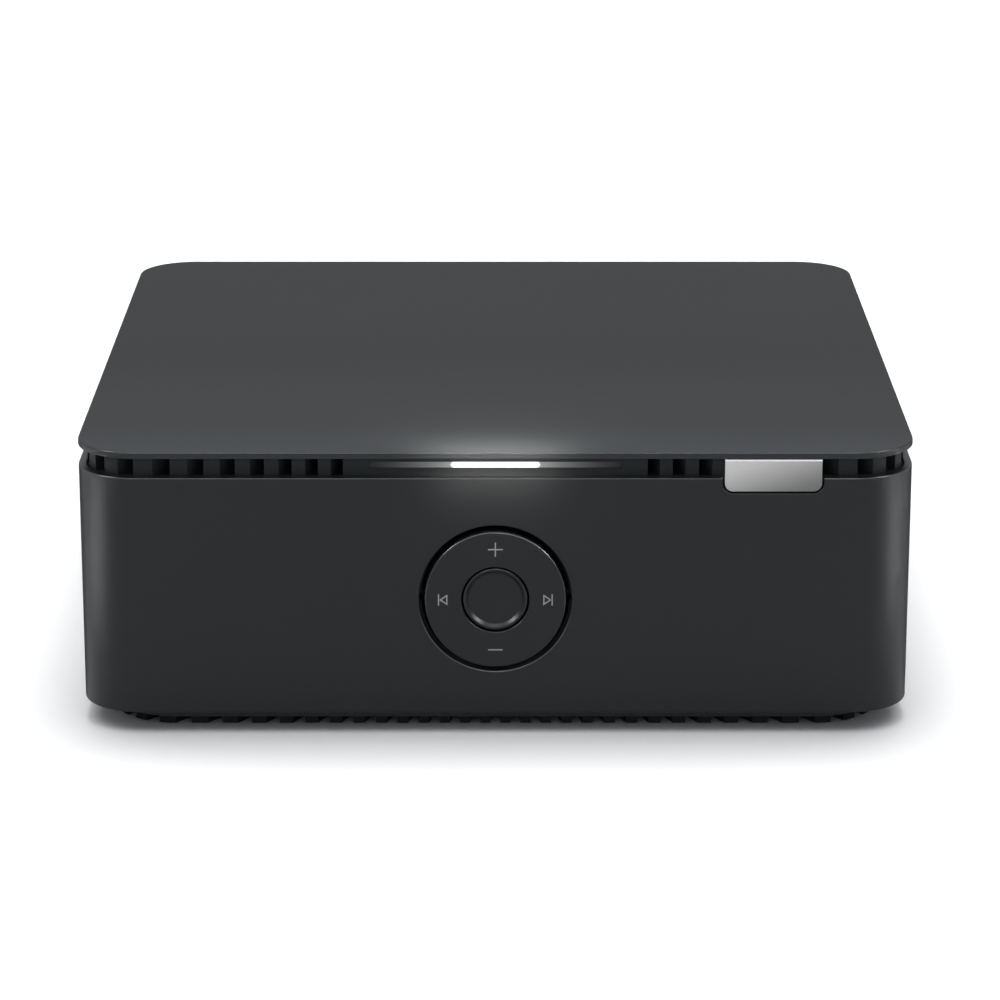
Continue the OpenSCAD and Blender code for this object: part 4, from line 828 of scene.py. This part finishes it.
def rolled(name, node, width, segments=3, reshape=None):
    """A merged copy of a solid with its sharp edges rolled over, which stands in for the solid.
    Where reshape is given, it takes the copy's points as an array and gives them back moved."""
    mesh = nodes[node].data.copy()
    mesh.name = name
    grid = bmesh.new()
    grid.from_mesh(mesh)
    bmesh.ops.remove_doubles(grid, verts=grid.verts, dist=SAME_POINT)
    bmesh.ops.dissolve_limit(grid, angle_limit=FLAT, verts=grid.verts, edges=grid.edges)
    grid.to_mesh(mesh)
    grid.free()
    if reshape:
        points = np.empty(3 * len(mesh.vertices))
        mesh.vertices.foreach_get("co", points)
        mesh.vertices.foreach_set("co", reshape(points.reshape(-1, 3)).ravel())
    for extra in [a for a in mesh.attributes if a.name == "custom_normal"]:
        mesh.attributes.remove(extra)
    mesh.polygons.foreach_set("use_smooth", np.full(len(mesh.polygons), True))
    mesh.set_sharp_from_angle(angle=SHARP)
    piece = put(name, mesh)
    bevel = piece.modifiers.new("roll", "BEVEL")
    bevel.width, bevel.segments = width, segments
    bevel.limit_method, bevel.angle_limit = "ANGLE", SHARP
    bevel.harden_normals = True
    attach(piece, nodes[node]["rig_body"])
    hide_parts(node)
    print(name, "rolled by", round(width / MM, 2), "mm from", len(mesh.polygons), "faces")
    return piece


rolled("cover_skin", "top_cover", 0.3 * MM)
rolled("body_skin", "body_shell", 0.3 * MM, reshape=tighter_mouth)
rolled("badge_skin", "badge_plate", 0.2 * MM)
rolled("button_skin", "play_button", 0.2 * MM, reshape=wider_dish)

# %% [markdown]
# ## Printing ink
# The pad carries four pale grey signs. They could be painted by a mask in the dial's finish, but a
# mask this fine would blur when it is baked. So each sign is a film of ink a hundredth of a
# millimetre thick, made of strokes, and it tilts with the pad.

# %% Strokes of ink
INK = 0.01 * MM
LINE = 0.3 * MM
UP = (0, 0, 1)


def stroke(corners, base, x_way, width, closed):
    """A flat line along 2-D corners: at each corner the side vector is the sum of the normals of
    the two lines that meet there, over one plus their dot product, which is a mitre. The profile is
    a low trapezoid."""
    corners = np.asarray(corners, float)
    after = np.roll(corners, -1, 0) - corners
    after /= np.linalg.norm(after, axis=1, keepdims=True)
    if not closed:
        after[-1] = after[-2]
    before = np.roll(after, 1, 0)
    if not closed:
        before[0] = after[0]
    normals = [np.stack([-d[:, 1], d[:, 0]], 1) for d in (before, after)]
    side = sum(normals) / (1 + (normals[0] * normals[1]).sum(1, keepdims=True))
    plane = np.array([x_way, UP], float)
    out = np.cross(x_way, UP)
    w, h = width / 2, INK
    profile = np.array([(-w, 0), (w, 0), (w - h, h), (h - w, h)])
    path = np.asarray(base) + corners @ plane
    return carry(path, side @ plane, np.tile(out, (len(path), 1)), profile, closed)


def pen(base, x_way, width=LINE):
    """A function that draws strokes round a base point, with X along x_way and Z upwards."""
    return lambda corners, closed=False: stroke(corners, base, x_way, width, closed)


def ink_print(place):
    """Pale grey ink with fine flecks."""
    fleck = grain(place, 0.15 * MM)
    return {
        "Base Color": blend_colours(fleck, shade(0.20), shade(0.27, (0.98, 1, 1.01))),
        "Roughness": 0.42 + 0.12 * fleck,
    }


ink = finish("ink", ink_print)
print("ink film in mm:", INK / MM, "line in mm:", LINE / MM)

# %% [markdown]
# ## Signs on the dial
# Plus and minus set the volume, previous and next skip a track. The skip signs are a bar and an
# outlined triangle that points to it, and one is the mirror image of the other. All four stand at
# the same distance from the dial's axis. A plus leaves its crossing to one stroke, so that no two
# films lie in each other.

# %% Plus, minus, previous and next
SIGN_AT = 12.55 * MM
ARM = 1.75 * MM
BAR = 1.42 * MM
HALF = 1.08 * MM
SKIP_X = (1.0, 0.6, -0.98)


def on_dial(x, z):
    """A pen for a sign whose middle is at (x, z) from the dial's axis."""
    return pen((x, ring_low.y, dial_z + z), (1, 0, 0))


def minus_strokes(draw, arm=ARM):
    return [draw([(-arm, 0), (arm, 0)])]


def plus_strokes(draw, arm=ARM, line=LINE):
    gap = line / 2
    upright = [draw([(0, gap), (0, arm)]), draw([(0, -arm), (0, -gap)])]
    return minus_strokes(draw, arm) + upright


def skip_strokes(draw, way):
    """A bar and an outlined triangle that points to it."""
    bar, tip, back = (way * x * MM for x in SKIP_X)
    triangle = draw([(tip, 0), (back, way * HALF), (back, -way * HALF)], closed=True)
    return [draw([(bar, -BAR), (bar, BAR)]), triangle]


SIGNS = {
    "sign_plus": plus_strokes(on_dial(0, SIGN_AT)),
    "sign_minus": minus_strokes(on_dial(0, -SIGN_AT)),
    "sign_previous": skip_strokes(on_dial(-SIGN_AT, 0), -1),
    "sign_next": skip_strokes(on_dial(SIGN_AT, 0), 1),
}
for name, shells in SIGNS.items():
    build(name, shells, ink, "dial_pad")

# %% [markdown]
# ## Signs at the terminals
# Each pair of loudspeaker terminals needs its poles marked, or a pair would be wired the wrong way
# round. The same strokes print a plus below the red caps and a minus below the black ones. They
# face backwards, so X runs the other way.

# %% Pole signs
PLATE_FACE = 80 * MM
POLE_DROP = 12.6 * MM
POLE_ARM = 1.2 * MM
POLE_LINE = 0.36 * MM
for i in range(1, 5):
    low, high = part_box(f"terminal_cap_{i}")
    base = ((low.x + high.x) / 2, PLATE_FACE, (low.z + high.z) / 2 - POLE_DROP)
    draw = pen(base, (-1, 0, 0), POLE_LINE)
    red = i % 2 == 1
    shells = plus_strokes(draw, POLE_ARM, POLE_LINE) if red else minus_strokes(draw, POLE_ARM)
    build(f"pole_sign_{i}", shells, ink, "case")

# %% [markdown]
# ## Sprung contacts
# A network socket holds eight sprung gold wires that slope down into its throat. Each is a ring of
# points carried along one bent path, and the path is the same for all eight, side by side.

# %% Sprung wires of the network socket
WIRES = 8
WIRE_PITCH = 1.02 * MM
WIRE_R = 0.19 * MM
WIRE_SIDES = 8
BEND = [(-12.4, 3.1), (-5.2, 3.1), (-4.5, 2.95), (-4.2, 2.55), (-4.5, 2.15), (-11.6, -0.2)]
bend = np.array(BEND) * MM
angles = np.linspace(0, 2 * np.pi, WIRE_SIDES, endpoint=False)
wire_profile = WIRE_R * np.stack([np.cos(angles), np.sin(angles)], 1)
slope = np.gradient(bend, axis=0)
slope /= np.linalg.norm(slope, axis=1, keepdims=True)
wire_ups = np.stack([np.zeros(len(bend)), -slope[:, 1], slope[:, 0]], 1)
wire_sides = np.tile((1.0, 0, 0), (len(bend), 1))


def sprung_wire(x):
    """The wire at this x; the bend gives the depth behind the face and the height."""
    path = np.stack([np.full(len(bend), x), FACE + bend[:, 0], lan_z + bend[:, 1]], 1)
    return carry(path, wire_sides, wire_ups, wire_profile)


wire_x = lan_x + (np.arange(WIRES) - (WIRES - 1) / 2) * WIRE_PITCH
wires = [sprung_wire(x) for x in wire_x]
build("lan_contacts", wires, gold, "case", smooth=True)

# %% [markdown]
# ## Flat contacts
# The picture and the data socket have flat gold strips on a tongue. The picture socket has ten on
# its upper side and nine on its lower one, set half a step apart. The data socket has four, and the
# outer two stand further away.

# %% Flat strips on the tongues
STRIP_RISE = 0.06 * MM
TONGUE = 0.7 * MM
HDMI_PITCH, HDMI_WIDTH, HDMI_REACH = 1.0 * MM, 0.45 * MM, (-8 * MM, -1.6 * MM)
HDMI_ROWS = ((10, 1), (9, -1))
USB_X, USB_WIDTH, USB_REACH = (-3.5, -1, 1, 3.5), 1.0 * MM, (-9 * MM, -1.5 * MM)


def strip(x, reach, z, up, width):
    """A thin bar along Y on a tongue's face: a low trapezoid carried over a path of two points."""
    path = np.array([(x, FACE + y, z) for y in reach])
    w, h = width / 2, STRIP_RISE
    profile = np.array([(-w, 0), (w, 0), (w - h / 2, h), (h / 2 - w, h)])
    sides, ups = np.tile((1.0, 0, 0), (2, 1)), np.tile((0, 0, float(up)), (2, 1))
    return carry(path, sides, ups, profile)


hdmi_strips = []
for count, up in HDMI_ROWS:
    for x in hdmi_x + (np.arange(count) - (count - 1) / 2) * HDMI_PITCH:
        hdmi_strips.append(strip(x, HDMI_REACH, hdmi_z + up * TONGUE, up, HDMI_WIDTH))
build("hdmi_contacts", hdmi_strips, gold, "case")
usb_strips = [strip(usb_x + x * MM, USB_REACH, usb_z, -1, USB_WIDTH) for x in USB_X]
build("usb_contacts", usb_strips, gold, "case")

# %% [markdown]
# ## Link lamps of the network socket
# Two small windows in the socket's lower corners show the link, one green and one amber. Each is a
# low pillow: a rounded rectangle drawn in rings, whose height falls from the middle to the edge as
# a quarter of a circle does.

# %% Pillow-shaped windows
LAMP_X, LAMP_DROP = 5.6 * MM, 5.15 * MM
LAMP_HALF = (1.5 * MM, 0.8 * MM)
LAMP_RISE = 0.25 * MM
LAMPS = {
    "link_lamp_green": (-LAMP_X, (0.05, 0.34, 0.07, 1)),
    "link_lamp_amber": (LAMP_X, (0.55, 0.26, 0.03, 1)),
}


def pillow(middle, half_x, half_z, height, rings=5, steps=32):
    """Ring r from 0 at the rim to 0.9 near the middle and angle a: the point is (1 - r) times a
    superellipse of power 4, raised by height times the square root of 1 - (1 - r) squared. A flat
    top and a flat back close it."""
    a = np.linspace(0, 2 * np.pi, steps, endpoint=False)
    r = np.linspace(0, 0.9, rings)[:, None]
    c, s = np.cos(a), np.sin(a)
    reach = (c**4 + s**4) ** -0.25
    x = (1 - r) * half_x * reach * c
    z = (1 - r) * half_z * reach * s
    y = height * np.sqrt(1 - (1 - r) ** 2) + 0 * a
    points = np.stack([middle[0] + x, middle[1] + y, middle[2] + z], -1)
    return points.reshape(-1, 3), grid_faces(rings, steps)


def tinted_window(colour):
    """Glossy plastic of this colour with a darker frost in it."""
    def recipe(place):
        frost = grain(place, 0.4 * MM)
        deep = shade(0.6, colour[:3])
        return {
            "Base Color": blend_colours(frost, deep, colour),
            "Roughness": 0.16 + 0.12 * frost,
        }

    return recipe


for name, (x, colour) in LAMPS.items():
    window = pillow((lan_x + x, FACE, lan_z - LAMP_DROP), *LAMP_HALF, LAMP_RISE)
    tinted = finish(name, tinted_window(colour))
    build(name, [window], tinted, "case", smooth=True)

# %% [markdown]
# ## The paper floor
# The case stands on white paper that is three metres wide. The lamps below are set so that paper
# with an albedo of 0.9 comes out just white, and only the case's soft shadow is left on it.

# %% Paper floor
PAPER = 1.5


def sheet(name, corners, material):
    """Flat quads, each from the next four corners."""
    mesh = bpy.data.meshes.new(name)
    mesh.from_pydata(corners.tolist(), [], np.arange(len(corners)).reshape(-1, 4).tolist())
    mesh.materials.append(material)
    return put(name, mesh)


def paper(place):
    """White paper with faint fibres."""
    fibre = grain(place, 3 * MM, detail=4)
    return {
        "Base Color": blend_colours(fibre, shade(0.9), shade(0.92)),
        "Roughness": 0.8 + 0.1 * fibre,
    }


floor_corners = np.array([(-1, -1, 0), (1, -1, 0), (1, 1, 0), (-1, 1, 0)]) * PAPER
floor = sheet("floor", floor_corners, finish("paper", paper, Specular_IOR_Level=0.0))
print("floor in metres:", 2 * PAPER)

# %% [markdown]
# ## Cards beside the case
# Seen edge on, any paint turns into a mirror. On white paper the left and right edges of a dark
# case would melt into the background, so a photographer lays dark cards beside it. Here the cards
# are seen by reflections alone. They fade from white to dark round the foot of each front corner,
# because the last degrees of the corner look that way.

# %% Dark cards
CARD_X = (98 * MM, 600 * MM)
CARD_Y = (-95 * MM, 800 * MM)
CARD_Z = 0.2 * MM
CORNER = (98 * MM, -85 * MM)
FADE = (0.35, 1.5)


def card_paper(place):
    """Dark where the way from the corner's foot runs more to the back than to the side."""
    x, y, _ = axes(place)
    steep = (y - CORNER[1]) / (abs(x) - CORNER[0] + 0.1 * MM)
    return {"Base Color": blend_colours(ramp(steep, *FADE), shade(0.9), shade(0.02))}


ROUND = ((0, 0), (1, 0), (1, 1), (0, 1))
right = np.array([(CARD_X[i], CARD_Y[j], CARD_Z) for i, j in ROUND])
left = (right * (-1, 1, 1))[::-1]
card_finish = finish("card_paper", card_paper, Roughness=0.9, Specular_IOR_Level=0.0)
cards = sheet("cards", np.vstack([right, left]), card_finish)
cards.visible_camera = cards.visible_diffuse = False
cards.visible_shadow = cards.visible_transmission = False
print("cards reach out to", CARD_X[1] / MM, "mm")

# %% [markdown]
# ## The room
# The camera sees plain white all round, as in a product photograph. For everything else the room is
# a weaker, slightly cool white, so that its light doesn't wash out the shadow. The Light Path node
# tells the two apart.

# %% White room
ROOM, ROOM_COLOUR = 0.42, (0.98, 1, 1.06, 1)
world = bpy.data.worlds.new("room")
scene.world = world
world.use_nodes = True
air = world.node_tree
backdrop = air.nodes["Background"]
backdrop.inputs["Color"].default_value = ROOM_COLOUR
backdrop.inputs["Strength"].default_value = ROOM
room = Wire(air, backdrop.outputs[0])
white = room.node("ShaderNodeBackground", {}, {"Color": shade(1.0)})
seen = room.node("ShaderNodeLightPath", {}, {}, "Is Camera Ray")
either = room.node("ShaderNodeMixShader", {}, {0: seen, 1: room, 2: white})
air.links.new(either.socket, air.nodes["World Output"].inputs["Surface"])
print("room strength:", ROOM)

# %% [markdown]
# ## The lamps
# A wide soft box above lights everything evenly, and a small one behind it makes the shadow in
# front. Two narrow lamps brighten the paper beside the front corners, which then mirror it. Four
# glint lamps are seen by reflections alone: they draw the light lines on edges and dish. Two tiny
# warm lamps stand for the light bar's glow on cover and body, and make no reflections.

# %% Lamps
WARM = (1, 0.87, 0.82)
PATCH_X, PATCH_Y = 0.25, -0.105
GLINT_AIM = (0, -0.1, 0.04)


def soft_box(name, place, aim, size, watts, spread=180, colour=(1, 1, 1)):
    """A rectangular lamp at a place that shines towards aim, in a beam of spread degrees."""
    lamp = bpy.data.lights.new(name, "AREA")
    lamp.shape = "RECTANGLE"
    lamp.size, lamp.size_y = size
    lamp.energy = watts
    lamp.color = colour
    lamp.spread = math.radians(spread)
    box = put(name, lamp)
    box.location = place
    box.rotation_euler = (Vector(aim) - Vector(place)).to_track_quat("-Z", "Y").to_euler()
    box.visible_camera = False
    print(name, watts, "W")
    return box


soft_box("wide_box", (0, 0.2, 2.0), (0, 0.2, 0), (3.2, 3.2), 43)
soft_box("key_box", (0, 0.38, 2.0), (0, 0.38, 0), (0.75, 0.75), 21)
for name, x in (("left_patch", -PATCH_X), ("right_patch", PATCH_X)):
    soft_box(name, (x, PATCH_Y, 0.15), (x, PATCH_Y, 0), (0.07, 0.07), 0.21, 36)
for name, place, size, watts in (
    ("glint_left", (-1.5, -0.67, 1.25), (0.5, 0.5), 46),
    ("glint_right", (1.5, -0.67, 1.25), (0.5, 0.5), 46),
    ("glint_front", (0, -0.85, 2.0), (1.2, 0.4), 14),
    ("glint_low", (0, -1.9, 1.05), (1.6, 0.35), 26),
):
    soft_box(name, place, GLINT_AIM, size, watts).visible_diffuse = False
for name, place, aim, size, watts in (
    ("cover_glow", (0, -0.106, 0.082), (0, -0.088, 0.0703), (0.03, 0.004), 0.026),
    ("body_glow", (0, -0.109, 0.066), (0, -0.098, 0.063), (0.024, 0.003), 0.0038),
):
    soft_box(name, place, aim, size, watts, 110, WARM).visible_glossy = False

# %% [markdown] ## The CAD box: only the ink on the dial stands a hundredth of a millimetre out of the box of the CAD model.
# The dressed model must keep to the box of the CAD model.
